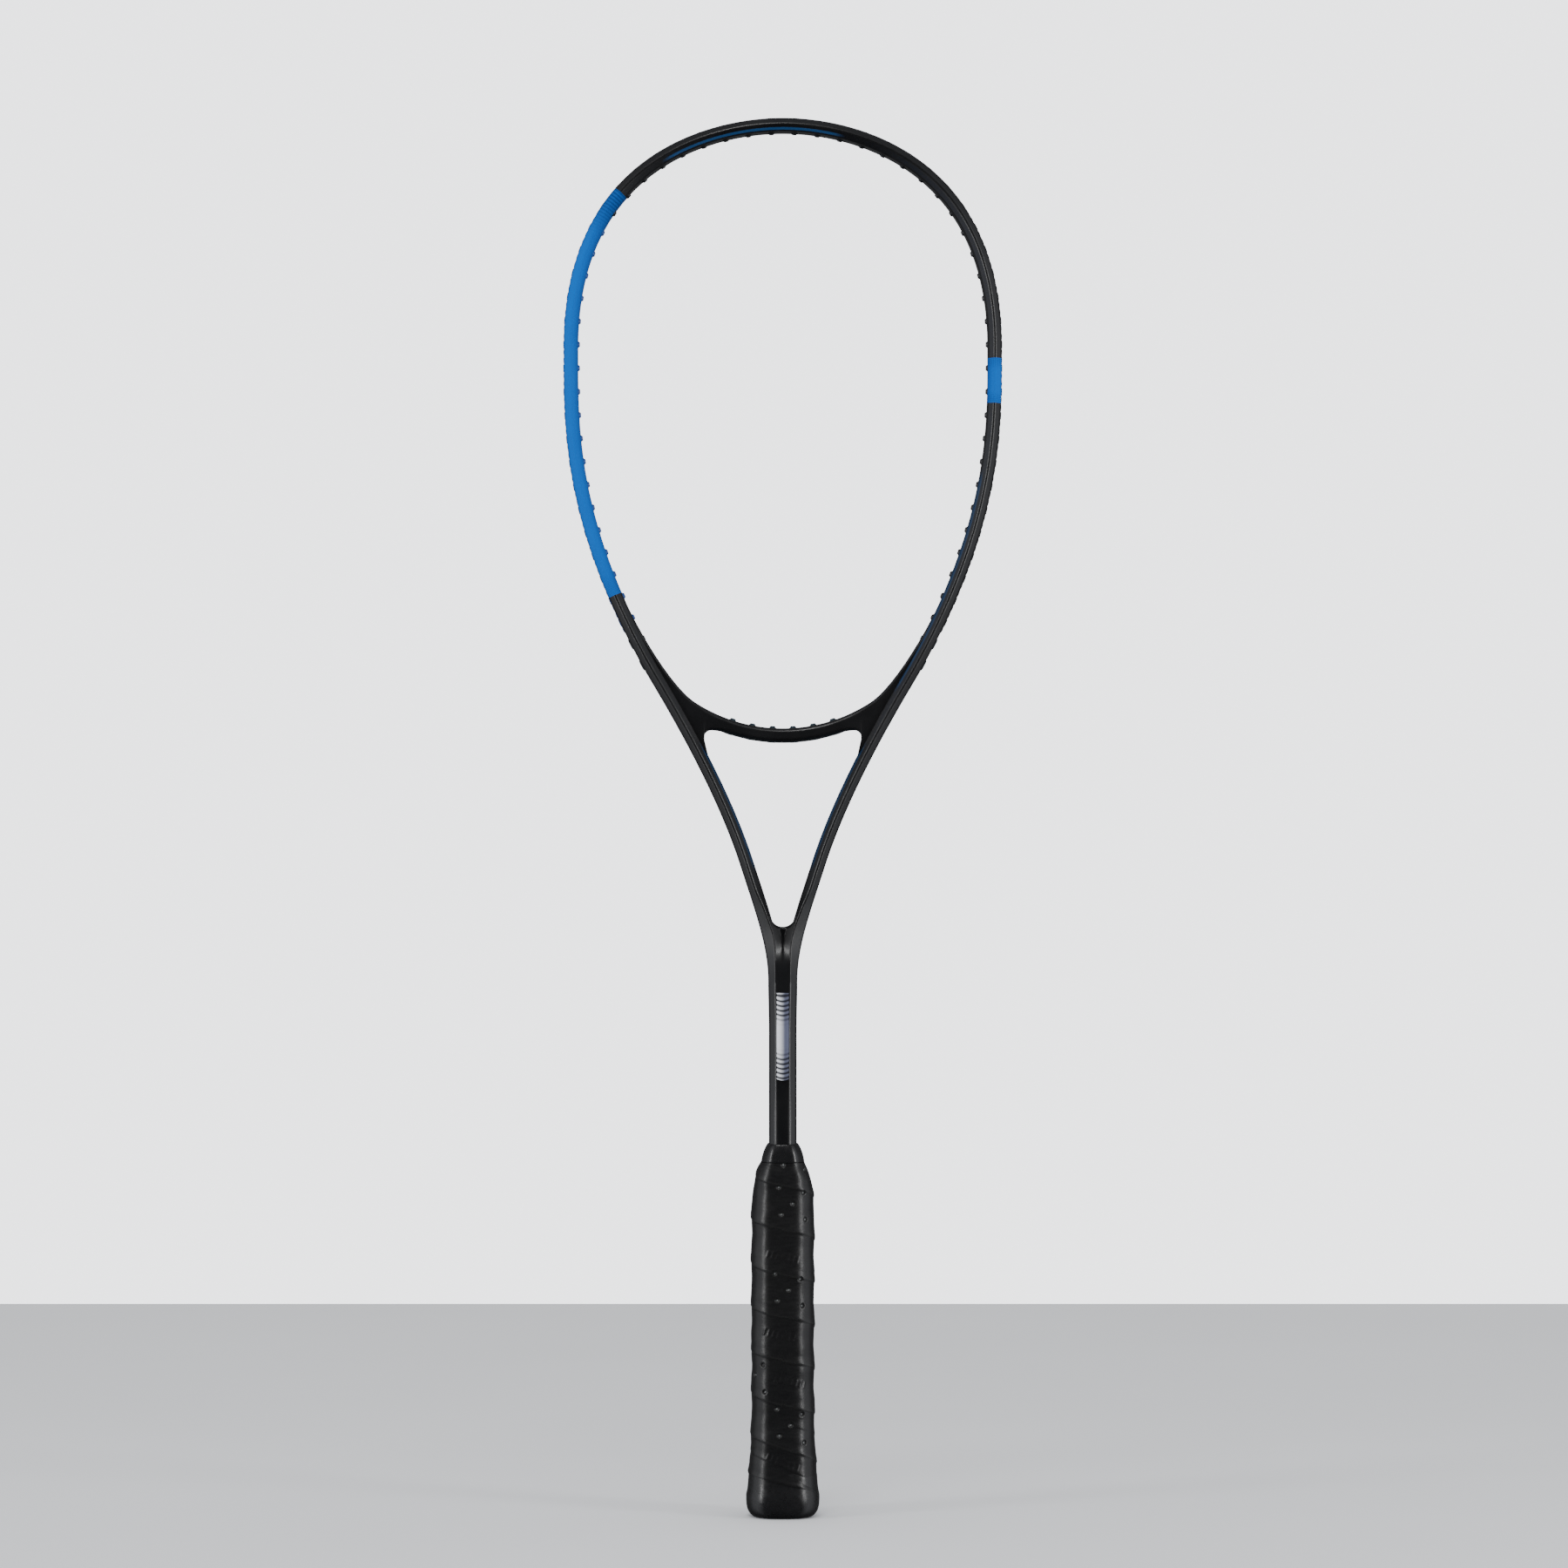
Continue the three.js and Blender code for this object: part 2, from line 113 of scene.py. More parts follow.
class Shape:
    """Vertices, faces and vertex values that become one piece."""

    def __init__(self):
        self.points = []
        self.faces = []
        self.values = {}
        self.count = 0

    def add(self, points, faces, **values):
        points = np.asarray(points, float).reshape(-1, 3)
        self.faces += [tuple(int(i) + self.count for i in face) for face in faces]
        for name in set(values) | set(self.values):
            held = self.values.setdefault(name, np.zeros(self.count))
            new = np.broadcast_to(np.asarray(values.get(name, 0.0), float).reshape(-1), (len(points),))
            self.values[name] = np.concatenate([held, new])
        self.points.append(points)
        self.count += len(points)

    def add_loft(self, rings, closed=False, **values):
        """Skins a list of rings. The ends are capped, unless the last ring joins the first."""
        rings = np.asarray(rings, float)
        rows, columns = rings.shape[:2]
        faces = loft_faces(rows, columns, closed)
        if not closed:
            faces.append(tuple(range(columns)))
            faces.append(tuple((rows - 1) * columns + j for j in range(columns)))
        spread = {name: np.broadcast_to(value, (rows, columns)) for name, value in values.items()}
        self.add(rings, faces, **spread)

    def make(self, name, material, node, crease=40):
        """The piece, which stands for a CAD node. Edges above the crease angle stay sharp."""
        mesh = bpy.data.meshes.new(name)
        mesh.from_pydata((np.concatenate(self.points) * MM).tolist(), [], self.faces)
        work = bmesh.new()
        work.from_mesh(mesh)
        bmesh.ops.recalc_face_normals(work, faces=work.faces)
        work.to_mesh(mesh)
        work.free()
        for label, value in self.values.items():
            layer = mesh.attributes.new(label, "FLOAT", "POINT")
            layer.data.foreach_set("value", value.astype(np.float32))
        mesh.shade_smooth()
        mesh.set_sharp_from_angle(angle=math.radians(crease))
        mesh.materials.append(material)
        piece = bpy.data.objects.new(name, mesh)
        bpy.context.scene.collection.objects.link(piece)
        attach(piece, "root")
        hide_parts(node)
        return piece


def loft_piece(rings, name, slot, material, node, crease=40, closed=False, **values):
    shape = Shape()
    shape.add_loft(rings, closed, **values)
    return shape.make(name, material, node, crease)


def loft_faces(rows, columns, closed):
    faces = []
    for i in range(rows if closed else rows - 1):
        here = i * columns
        after = ((i + 1) % rows) * columns
        for j in range(columns):
            k = (j + 1) % columns
            faces.append((here + j, here + k, after + k, after + j))
    return faces


ROUND_SHARE = 0.42  # the most of a side that the round of one corner takes
SUPPORT_SHARE = 0.48  # and the most that it takes with its support point


def rounded(outline, radii, steps, support=0.12):
    """A closed outline with round corners, and a point on each side just before the round starts."""
    outline = np.asarray(outline, float)
    radii = np.broadcast_to(radii, len(outline))
    made = []
    for i, corner in enumerate(outline):
        before = outline[i - 1] - corner
        after = outline[(i + 1) % len(outline)] - corner
        shorter = min(np.linalg.norm(before), np.linalg.norm(after))
        reach = min(radii[i], ROUND_SHARE * shorter)
        held = min(reach + support, SUPPORT_SHARE * shorter)
        one = before / np.linalg.norm(before)
        two = after / np.linalg.norm(after)
        made.append(corner + one * held)
        for t in np.linspace(0, 1, steps + 1):
            made.append(corner + one * reach * (1 - t) ** 2 + two * reach * t**2)
        made.append(corner + two * held)
    return np.array(made)


def eight_corners(flat, width, side, depth):
    """Corners of an octagon from its front face's right end, by half sizes."""
    right = [[flat, -depth], [width, -side], [width, side], [flat, depth]]
    return np.array(right + [[-x, y] for x, y in right[::-1]])


def at_height(outline, height):
    """An outline as a level ring."""
    return np.concatenate([outline, np.full((len(outline), 1), height)], axis=1)


def mirrored(values):
    """Values that rise from 0, with the same ones below 0 before them."""
    return np.concatenate([-values[:0:-1], values])


def path_runs(points):
    """How far along a path each of its points is."""
    steps = np.linalg.norm(np.diff(points, axis=0), axis=1)
    return np.concatenate([[0], np.cumsum(steps)])


def path_points(wanted, runs, points):
    """The places at the wanted runs of a flat path."""
    return np.stack([np.interp(wanted, runs, points[:, k]) for k in (0, 1)], axis=-1)


def ease(value, low, high):
    """0 below low, 1 above high, and smooth between them."""
    t = np.clip((np.asarray(value, float) - low) / (high - low), 0, 1)
    return t * t * (3 - 2 * t)


def bezier(points, count):
    """Points along a cubic curve with four control points."""
    points = np.asarray(points, float)
    t = np.linspace(0, 1, count)[:, None]
    return (
        points[0] * (1 - t) ** 3
        + 3 * points[1] * (1 - t) ** 2 * t
        + 3 * points[2] * (1 - t) * t**2
        + points[3] * t**3
    )


# ---------- The lines of the frame, in the XZ plane ----------


class Line:
    """A flat curve measured from its middle. Inward, towards the strings, is right of its travel."""

    def __init__(self, points):
        self.points = np.asarray(points, float)
        runs = path_runs(self.points)
        self.half = runs[-1] / 2
        self.runs = runs - self.half

    def at(self, run):
        return path_points(run, self.runs, self.points)

    def along(self, run, step=0.8):
        run = np.asarray(run, float)
        travel = self.at(run + step) - self.at(run - step)
        return travel / np.linalg.norm(travel, axis=-1, keepdims=True)

    def inward(self, run):
        travel = self.along(run)
        return np.stack([travel[..., 1], -travel[..., 0]], axis=-1)

    def run_at(self, height, side):
        """How far along the line its right (1) or left (-1) half passes a height."""
        half = self.runs >= 0
        falling = self.points[half][:, 1][::-1]
        return side * np.interp(height, falling, self.runs[half][::-1])


def heading(degrees):
    """The way down and inwards, at an angle from the vertical."""
    lean = math.radians(degrees)
    return np.array([-math.sin(lean), -math.cos(lean)])


# The centreline of the right half, and how far it is drawn along its heading above and below each
CROWN_PULL = 36
WIDEST_HEIGHT, WIDEST_ABOVE, WIDEST_BELOW = 573, 90, 38
THROAT, THROAT_LEAN, THROAT_ABOVE, THROAT_BELOW = np.array([64.3, 415.3]), 29.2, 84, 9
LEG, LEG_LEAN, LEG_ABOVE, LEG_BELOW = np.array([17.7, 320]), 17.8, 44, 24
FORK_HALF, FORK_ABOVE = 3.8, 18
LEG_OVERLAP = 0.35  # how far a leg runs on past the fork, into the shaft's top


def hairpin_line():
    """Up the left leg, over the crown and down the right leg."""
    crown = np.array([0, TOP - STRIP_PROUD - OUTER_FACE])
    widest = np.array([HALF_WIDTH - STRIP_PROUD - OUTER_FACE, WIDEST_HEIGHT])
    fork = np.array([FORK_HALF, FORK_HEIGHT])
    down, leg_down = heading(THROAT_LEAN), heading(LEG_LEAN)
    pieces = [
        [crown, crown + [CROWN_PULL, 0], widest + [0, WIDEST_ABOVE], widest],
        [widest, widest - [0, WIDEST_BELOW], THROAT - THROAT_ABOVE * down, THROAT],
        [THROAT, THROAT + THROAT_BELOW * down, LEG - LEG_ABOVE * leg_down, LEG],
        [LEG, LEG + LEG_BELOW * leg_down, fork + [0, FORK_ABOVE], fork],
    ]
    curves = [bezier(piece, 260)[:-1] for piece in pieces]
    right = np.concatenate(curves + [[fork, fork - [0, LEG_OVERLAP]]])
    left = right[:0:-1] * [-1, 1]
    return Line(np.concatenate([left, right]))


def bridge_point(angle, radius):
    """A point of the bridge's arc, by its angle from straight down."""
    return np.stack([radius * np.sin(angle), BRIDGE_CENTRE - radius * np.cos(angle)], axis=-1)


BRIDGE_REACH = 49.5  # degrees of its arc on each side

head = hairpin_line()
bridge = Line(bridge_point(np.radians(np.linspace(BRIDGE_REACH, -BRIDGE_REACH, 400)), BRIDGE_RADIUS))


def swept(line, runs, section):
    """Rings along a line. A section lists (front, inward) pairs, once or for each ring."""
    section = np.asarray(section, float)
    section = np.broadcast_to(section, (len(runs),) + section.shape[-2:])
    flat = line.at(runs)[:, None, :] + line.inward(runs)[:, None, :] * section[..., 1:]
    return np.stack([flat[..., 0], -section[..., 0], flat[..., 1]], axis=-1)


# ---------- Materials ----------


class Nodes:
    """A node tree, built up from sockets."""

    def __init__(self, tree):
        self.tree = tree

    def node(self, kind, inputs=(), **settings):
        made = self.tree.nodes.new(kind)
        for label, value in settings.items():
            setattr(made, label, value)
        for slot, value in dict(inputs).items():
            if isinstance(value, bpy.types.NodeSocket):
                self.tree.links.new(value, made.inputs[slot])
            else:
                made.inputs[slot].default_value = value
        return made

    def math(self, operation, *values):
        return self.node("ShaderNodeMath", dict(enumerate(values)), operation=operation).outputs[0]

    def times(self, one, two):
        return self.math("MULTIPLY", one, two)

    def remap(self, value, low, high, start=0.0, end=1.0, kind="SMOOTHSTEP"):
        inputs = {"Value": value, "From Min": low, "From Max": high, "To Min": start, "To Max": end}
        return self.node("ShaderNodeMapRange", inputs, interpolation_type=kind).outputs["Result"]

    def within(self, value, low, high, edge):
        """1 between two values, falling to 0 over an edge outside each."""
        rise = self.remap(value, low - edge, low)
        fall = self.remap(value, high, high + edge, 1.0, 0.0)
        return self.times(rise, fall)


class Finish(Nodes):
    """A material with one Principled shader."""

    def __init__(self, name, **settings):
        self.material = bpy.data.materials.new(name)
        self.material.use_nodes = True
        super().__init__(self.material.node_tree)
        self.shader = self.tree.nodes["Principled BSDF"]
        for label, value in settings.items():
            self.shader.inputs[label.replace("_", " ")].default_value = value

    def drive(self, label, socket):
        self.tree.links.new(socket, self.shader.inputs[label])

    def value(self, name):
        return self.node("ShaderNodeAttribute", attribute_name=name).outputs["Fac"]

    def place(self):
        return self.node("ShaderNodeTexCoord").outputs["Object"]

    def noise(self, scale, detail, stretch=None):
        where = self.place()
        if stretch:
            mapping = self.node("ShaderNodeMapping", {"Vector": where, "Scale": stretch})
            where = mapping.outputs["Vector"]
        inputs = {"Vector": where, "Scale": scale, "Detail": detail}
        return self.node("ShaderNodeTexNoise", inputs).outputs["Fac"]

    def cells(self, scale, feature="F1"):
        inputs = {"Vector": self.place(), "Scale": scale}
        return self.node("ShaderNodeTexVoronoi", inputs, feature=feature).outputs["Distance"]

    def mix(self, share, one, two):
        made = self.node("ShaderNodeMix", data_type="RGBA")
        for slot, value in (("Factor", share), ("A", one), ("B", two)):
            socket = next(s for s in made.inputs if s.name == slot and s.enabled)
            if isinstance(value, bpy.types.NodeSocket):
                self.tree.links.new(value, socket)
            elif slot == "Factor":
                socket.default_value = value
            else:
                socket.default_value = (*value, 1.0)
        return next(s for s in made.outputs if s.enabled)

    def colour(self, share, one, two):
        self.drive("Base Color", self.mix(share, one, two))

    def rough(self, noise, low, high):
        """Roughness that follows a noise, most of which lies between 0.3 and 0.7."""
        self.drive("Roughness", self.remap(noise, 0.3, 0.7, low, high, "LINEAR"))

    def bump(self, *layers):
        """Layers are (height socket, distance in millimetres)."""
        normal = None
        for height, distance in layers:
            inputs = {"Height": height, "Distance": distance * MM, "Strength": 1.0}
            made = self.node("ShaderNodeBump", inputs)
            if normal:
                self.tree.links.new(normal, made.inputs["Normal"])
            normal = made.outputs["Normal"]
        self.drive("Normal", normal)


BLACK = (0.0035, 0.0036, 0.0045)
BLUE = (0.0, 0.098, 0.43)
INNER_BLUE = (0.0, 0.05, 0.22)  # a darker blue, towards the strings
OUTER_BLUE = (0.0, 0.07, 0.27)  # and towards the strip
DEEP_BLUE = (0.0, 0.018, 0.08)  # of its bars and hatching
STEEL_BLUE = (0.0, 0.036, 0.12)  # the stripe at the crown
STRIPE_BLUE = (0.0, 0.016, 0.05)  # the stripes lower down
STRIPE_FADE = 8.0  # at a stripe's ends
STRIPE_EDGE = 0.3
BAR_PITCH = 1.6
HATCH_PITCH = 1.5
BLUE_LEFT = (451, 648)  # heights between which each side is blue
BLUE_RIGHT = (545, 567)


def shades(colour, low, high):
    """A darker and a lighter shade of a colour."""
    return tuple(low * c for c in colour), tuple(high * c for c in colour)


def graphite_finish(name, striped=False):
    """Satin lacquer over graphite, with thin blue stripes where the frame's own run says so."""
    finish = Finish(name, IOR=1.5, Coat_Weight=0.2, Coat_Roughness=0.16)
    cloud = finish.noise(60, 4)
    fleck = finish.noise(2600, 2)
    colour = finish.mix(cloud, *shades(BLACK, 0.7, 1.4))
    if striped:
        run = finish.value("run")
        lay = finish.value("lay")
        for low, high, inner, outer, tint in pinstripes():
            length = finish.within(run, low, high, STRIPE_FADE)
            width = finish.within(lay, inner, outer, STRIPE_EDGE)
            colour = finish.mix(finish.times(length, width), colour, tint)
    finish.drive("Base Color", colour)
    finish.rough(cloud, 0.34, 0.42)
    finish.bump((cloud, 0.05), (fleck, 0.004))
    return finish.material


def blue_finish(name):
    """Blue lacquer that ends in bars at the crown and in fine hatching elsewhere."""
    finish = Finish(name, IOR=1.4, Specular_IOR_Level=0.05)
    cloud = finish.noise(60, 4)
    run = finish.value("run")
    lay = finish.value("lay")
    bars = finish.math("SINE", finish.times(run, math.tau / BAR_PITCH))
    slant = finish.times(lay, math.tau / HATCH_PITCH)
    along = finish.times(run, math.tau / HATCH_PITCH)
    hatch = finish.times(
        finish.math("SINE", finish.math("ADD", along, slant)),
        finish.math("SINE", finish.math("SUBTRACT", along, slant)),
    )
    blue = finish.mix(cloud, *shades(BLUE, 0.9, 1.1))
    # darker blue towards the strings, and along the face towards the strip
    edge = finish.remap(lay, 1.2, 3.3, 0.0, 0.55)
    blue = finish.mix(edge, blue, INNER_BLUE)
    rim = finish.remap(lay, -3.3, -2.0, 0.5, 0.0)
    blue = finish.mix(rim, blue, OUTER_BLUE)
    for pattern, low, high, fade, strength in blue_fades(bars, hatch):
        deep = finish.times(finish.within(run, low, high, fade), strength)
        mark = finish.remap(pattern, -0.3, 0.6)
        blue = finish.mix(finish.times(mark, deep), blue, DEEP_BLUE)
    finish.drive("Base Color", blue)
    finish.rough(cloud, 0.42, 0.52)
    finish.bump((cloud, 0.05), (finish.noise(2600, 2), 0.004))
    return finish.material


def blue_zones():
    """The (from, to) runs that are painted blue: a long one on the left, a band on the right."""
    return [
        (head.run_at(BLUE_LEFT[0], -1), head.run_at(BLUE_LEFT[1], -1)),
        (head.run_at(BLUE_RIGHT[1], 1), head.run_at(BLUE_RIGHT[0], 1)),
    ]


def blue_fades(bars, hatch):
    """Patterns at the ends of the blue, as (pattern, from, to, fade beyond both, strength)."""
    (left_low, left_high), (right_high, right_low) = blue_zones()
    return [
        (1.0, left_high - 4, left_high + 1, 30.0, 0.4),
        (bars, left_high - 2, left_high + 1, 24.0, 0.55),
        (hatch, left_low - 1, left_low + 4, 9.0, 0.4),
        (hatch, right_high - 1, right_high + 2, 4.0, 0.5),
        (hatch, right_low - 2, right_low + 1, 4.0, 0.5),
    ]


def pinstripes():
    """Thin bands on the inner bevel, as (from, to, edge near the ridge, other edge, colour)."""
    return [
        (-56, 24, 1.7, 2.5, STEEL_BLUE),
        (head.run_at(505, 1), head.run_at(408, 1), 2.2, 3.6, STRIPE_BLUE),
        (head.run_at(372, 1), head.run_at(322, 1), 2.4, 3.6, STRIPE_BLUE),
        (head.run_at(322, -1), head.run_at(372, -1), 2.4, 3.6, STRIPE_BLUE),
    ]


def nylon_finish(name, base):
    """Moulded nylon with a fine matt grain."""
    finish = Finish(name, IOR=1.5)
    cloud = finish.noise(150, 3)
    finish.colour(cloud, *shades(base, 0.7, 1.3))
    finish.rough(finish.noise(900, 2), 0.34, 0.5)
    finish.bump((finish.noise(1500, 2), 0.02))
    return finish.material


def grip_finish(name):
    """Tacky tape: streaked and grained, lighter along the edge of each turn, with a painted glint at the
    middle of each hole.
    """
    finish = Finish(name, IOR=1.42, Coat_Weight=0.15, Coat_Roughness=0.28)
    cloud = finish.noise(45, 4)
    grain = finish.cells(1500.0, "SMOOTH_F1")
    streak = finish.noise(240, 3, stretch=(1.0, 1.0, 4.0))
    tape_colour = finish.mix(cloud, (0.0045, 0.0045, 0.0055), (0.009, 0.0088, 0.0088))
    # lighter along the edge of each turn of the tape
    tape_colour = finish.mix(finish.value("edge"), tape_colour, (0.012, 0.012, 0.012))
    # painted glint: light grey at the middle of each hole
    lit = finish.remap(finish.value("hole"), 0.9, 1.0, 0.0, 0.8)
    finish.colour(lit, tape_colour, (0.2, 0.21, 0.21))
    rough = finish.remap(streak, 0.3, 0.7, 0.3, 0.46, "LINEAR")
    finish.drive("Roughness", finish.math("MULTIPLY_ADD", finish.value("hole"), 0.3, rough))
    finish.bump((streak, 0.035), (grain, 0.03))
    return finish.material


def rubber_finish(name, low, high):
    """Smooth black moulding, with its roughness between two values."""
    finish = Finish(name, IOR=1.5)
    cloud = finish.noise(90, 3)
    finish.colour(cloud, (0.006, 0.006, 0.0065), (0.011, 0.011, 0.012))
    finish.rough(finish.noise(500, 3), low, high)
    finish.bump((finish.noise(1800, 2), 0.012), (cloud, 0.03))
    return finish.material


def badge_finish(name):
    """Brushed silver foil, with painted shade towards the right and painted shade in its grooves and along
    its side edges.
    """
    finish = Finish(name, Metallic=0.2, Specular_IOR_Level=0.3)
    brushed = finish.noise(500, 3, stretch=(0.5, 1.0, 6.0))
    silver = finish.mix(brushed, (0.80, 0.82, 0.88), (0.92, 0.94, 0.98))
    # painted shade: the foil darkens from its left edge towards the right
    painted_shade = finish.remap(finish.value("aside"), -0.7, 0.45)
    silver = finish.mix(painted_shade, silver, (0.11, 0.12, 0.18))
    # painted shade: dark in the grooves between the rings, along the side edges and on the back
    finish.colour(finish.value("dark"), silver, (0.012, 0.012, 0.018))
    finish.rough(brushed, 0.3, 0.4)
    finish.bump((brushed, 0.003))
    return finish.material


def foam_finish(name):
    """Dense moulded foam with fine cells."""
    finish = Finish(name, IOR=1.45)
    cells = finish.cells(1400.0)
    finish.colour(finish.noise(70, 3), (0.13, 0.12, 0.10), (0.2, 0.19, 0.16))
    finish.drive("Roughness", finish.remap(cells, 0.0, 0.5, 0.65, 0.9, "LINEAR"))
    finish.bump((cells, 0.08))
    return finish.material


def steel_finish(name):
    """Bright drawn wire."""
    finish = Finish(name, Metallic=1.0)
    drawn = finish.noise(700, 3, stretch=(1.0, 1.0, 8.0))
    finish.colour(drawn, (0.4, 0.41, 0.42), (0.6, 0.61, 0.63))
    finish.rough(drawn, 0.25, 0.45)
    finish.bump((drawn, 0.02))
    return finish.material


STRIPED = graphite_finish("graphite_striped", True)
GRAPHITE = graphite_finish("graphite_plain")
BLUE_PAINT = blue_finish("blue_lacquer")
NYLON = nylon_finish("nylon_black", (0.006, 0.0065, 0.008))
BLUE_NYLON = nylon_finish("nylon_blue", (0.0, 0.045, 0.22))
TEAL_NYLON = nylon_finish("nylon_teal", (0.006, 0.022, 0.034))
GRIP = grip_finish("grip_tape")
RUBBER = rubber_finish("collar_rubber", 0.2, 0.32)
CAP = rubber_finish("cap_moulding", 0.24, 0.4)
BADGE = badge_finish("badge_silver")

# ---------- Frame: hoop and legs ----------

SIDE_HEIGHT = 12.4  # of the tube's flat sides, between the bevels
LEG_SLIM = 0.7  # how much less half of that is where the legs meet the shaft
RIDGE_APEX = 0.58  # how far the two bevels would meet beyond the rounded ridge
APEX_DROP = 0.35  # how much less that is at the fork
RIDGE_ROUND = 1.4
FORK_BLEND = (266, 300)  # heights between which the tube takes on its shape at the fork
SIDE_BLEND = (266, 320)  # and its sides grow to their full height
RIDGE_BLEND = (298, 309)  # and its ridge comes back to the middle
# Where the ridge of the right leg runs, as (height, distance from the axis): near the fork it
# leaves the middle of the tube, and closes in on the axis to become the edge of the shaft's face
RIDGE_STATIONS = np.array([
    [255, 3.55], [264, 3.55], [274, 3.55], [281, 3.8], [286.5, 4.9], [292.5, 7.0], [299, 9.6],
    [306, 12.4],
])


def ridge_reach(heights):
    """How far from the axis the ridge runs near the fork."""
    held = np.clip(heights, RIDGE_STATIONS[0, 0], RIDGE_STATIONS[-1, 0])
    return smooth_stations(RIDGE_STATIONS, held)[:, 0]


def ridge_offset(runs):
    """How far inward of the tube's middle the ridge runs."""
    place = head.at(runs)
    height = place[:, 1]
    lean = np.abs(head.inward(runs)[:, 0])
    shift = np.clip((np.abs(place[:, 0]) - ridge_reach(height)) * lean, 0, OUTER_FACE - 1)
    return shift * (1 - ease(height, *RIDGE_BLEND))


def beam_section(groove, shift, height):
    """The tube's outline, with the strip's groove cut into its outer face and its ridge moved."""
    near_fork = 1 - ease(height, *FORK_BLEND)
    apex = BEAM_DEPTH / 2 + RIDGE_APEX - APEX_DROP * near_fork
    side = SIDE_HEIGHT / 2 - LEG_SLIM * (1 - ease(height, *SIDE_BLEND))
    lip = STRIP_WIDTH / 2 + STRIP_GAP
    floor = OUTER_FACE - groove
    corners = [
        [apex, shift], [side, OUTER_FACE], [-side, OUTER_FACE], [-apex, shift], [-side, -OUTER_FACE],
        [-lip, -OUTER_FACE], [-lip + 0.1, -floor], [lip - 0.1, -floor], [lip, -OUTER_FACE],
        [side, -OUTER_FACE],
    ]
    ridge = RIDGE_ROUND * (1 - 0.5 * near_fork)
    radii = [ridge, 1.2, 1.2, ridge, 1.5, 0.15, 0.1, 0.1, 0.15, 1.5]
    return rounded(corners, radii, steps=5)


def frame_hairpin():
    """The hoop and both legs, striped, with the faces of the blue zones in blue lacquer."""
    fine = np.linspace(-head.half, head.half, 660)
    ends = [side * (GROOVE_END + step) for side in (-1, 1) for step in (-0.4, 0.0, 0.4)]
    borders = [run for zone in blue_zones() for run in zone]
    runs = np.sort(np.concatenate([fine, ends, borders]))
    cut = 1 - ease(np.abs(runs), GROOVE_END - 0.1, GROOVE_END + 0.5)
    shifts = ridge_offset(runs)
    heights = head.at(runs)[:, 1]
    sections = np.array([
        beam_section(share * GROOVE_DEPTH, shift, height)
        for share, shift, height in zip(cut, shifts, heights)
    ])
    piece = loft_piece(
        swept(head, runs, sections), "frame_hairpin", "graphite_paint", STRIPED, "hairpin_tube",
        run=runs[:, None], lay=sections[..., 1],
    )
    piece.data.materials.append(BLUE_PAINT)
    middles = (runs[1:] + runs[:-1]) / 2
    blue = sum((low < middles) & (middles < high) for low, high in blue_zones())
    faces = np.zeros(len(piece.data.polygons), np.int32)
    faces[: len(middles) * sections.shape[1]] = np.repeat(blue, sections.shape[1])
    piece.data.polygons.foreach_set("material_index", faces)


# ---------- Frame: bridge with its corners ----------

BRIDGE_EDGE = math.radians(33)  # where the bridge's upper edge starts to curve up into the hoop
BRIDGE_RUN = math.radians(17)  # where its lower edge leaves the arc for the corner
CORNER_RADIUS = 3.4
CORNER = np.array([35.2, 381.6])  # the middle of that radius
TAIL_HEIGHT = 371  # where the corner's edge has run down into the leg
FILLET_TOP = 446  # where the upper edge has run up into the hoop
FILLET_PULL = 14
HIDDEN_FOOT = 377  # where the lower edge starts to run on inside the tube, out of sight
HIDDEN_REACH = 0.6  # inward of the tube's middle
BRIDGE_DEPTH = 7.5  # half of it, in the middle
BRIDGE_SIDE = 5.9  # half the height of its flat sides, in the middle


def bridge_edges():
    """The upper and lower edges of the right half, from the middle out, point against point."""
    angle = np.linspace(0, BRIDGE_RUN, 30)
    upper = [bridge_point(angle, BRIDGE_RADIUS - OUTER_FACE)]
    lower = [bridge_point(angle, BRIDGE_RADIUS + OUTER_FACE)]
    # across the corner: the upper edge runs on along the arc, the lower one round the corner
    turn = np.linspace(math.pi / 2, -0.2, 16)[:, None]
    round_edge = CORNER + CORNER_RADIUS * np.concatenate([np.cos(turn), np.sin(turn)], axis=1)
    start = lower[0][-1]
    slope = np.array([math.cos(BRIDGE_RUN), math.sin(BRIDGE_RUN)])
    lead = bezier([start, start + 4 * slope, round_edge[0] - [3, 0], round_edge[0]], 10)[1:-1]
    leg_run = head.run_at(TAIL_HEIGHT, 1)
    tail_end = head.at(leg_run) + head.inward(leg_run) * (OUTER_FACE - 0.15)
    last = round_edge[-1]
    tail = bezier([last, last - [0, 2.2], tail_end - 3 * head.along(leg_run), tail_end], 10)[1:]
    around = np.concatenate([lead, round_edge, tail])
    reach = np.linspace(BRIDGE_RUN, BRIDGE_EDGE, len(around) + 1)[1:]
    upper.append(bridge_point(reach, BRIDGE_RADIUS - OUTER_FACE))
    lower.append(around)
    # up into the hoop: the upper edge is the fillet, and the lower one hides inside the tube
    top_run = head.run_at(FILLET_TOP, 1)
    top = head.at(top_run) + head.inward(top_run) * OUTER_FACE
    corner = bridge_point(BRIDGE_EDGE, BRIDGE_RADIUS - OUTER_FACE)
    out = np.array([math.cos(BRIDGE_EDGE), math.sin(BRIDGE_EDGE)])
    pulled = [corner + FILLET_PULL * out, top + FILLET_PULL * head.along(top_run)]
    upper.append(bezier([corner, *pulled, top], 30)[1:])
    hidden = np.linspace(head.run_at(HIDDEN_FOOT, 1), top_run - 2, 29)
    lower.append(head.at(hidden) + head.inward(hidden) * HIDDEN_REACH)
    return np.concatenate(upper), np.concatenate(lower)


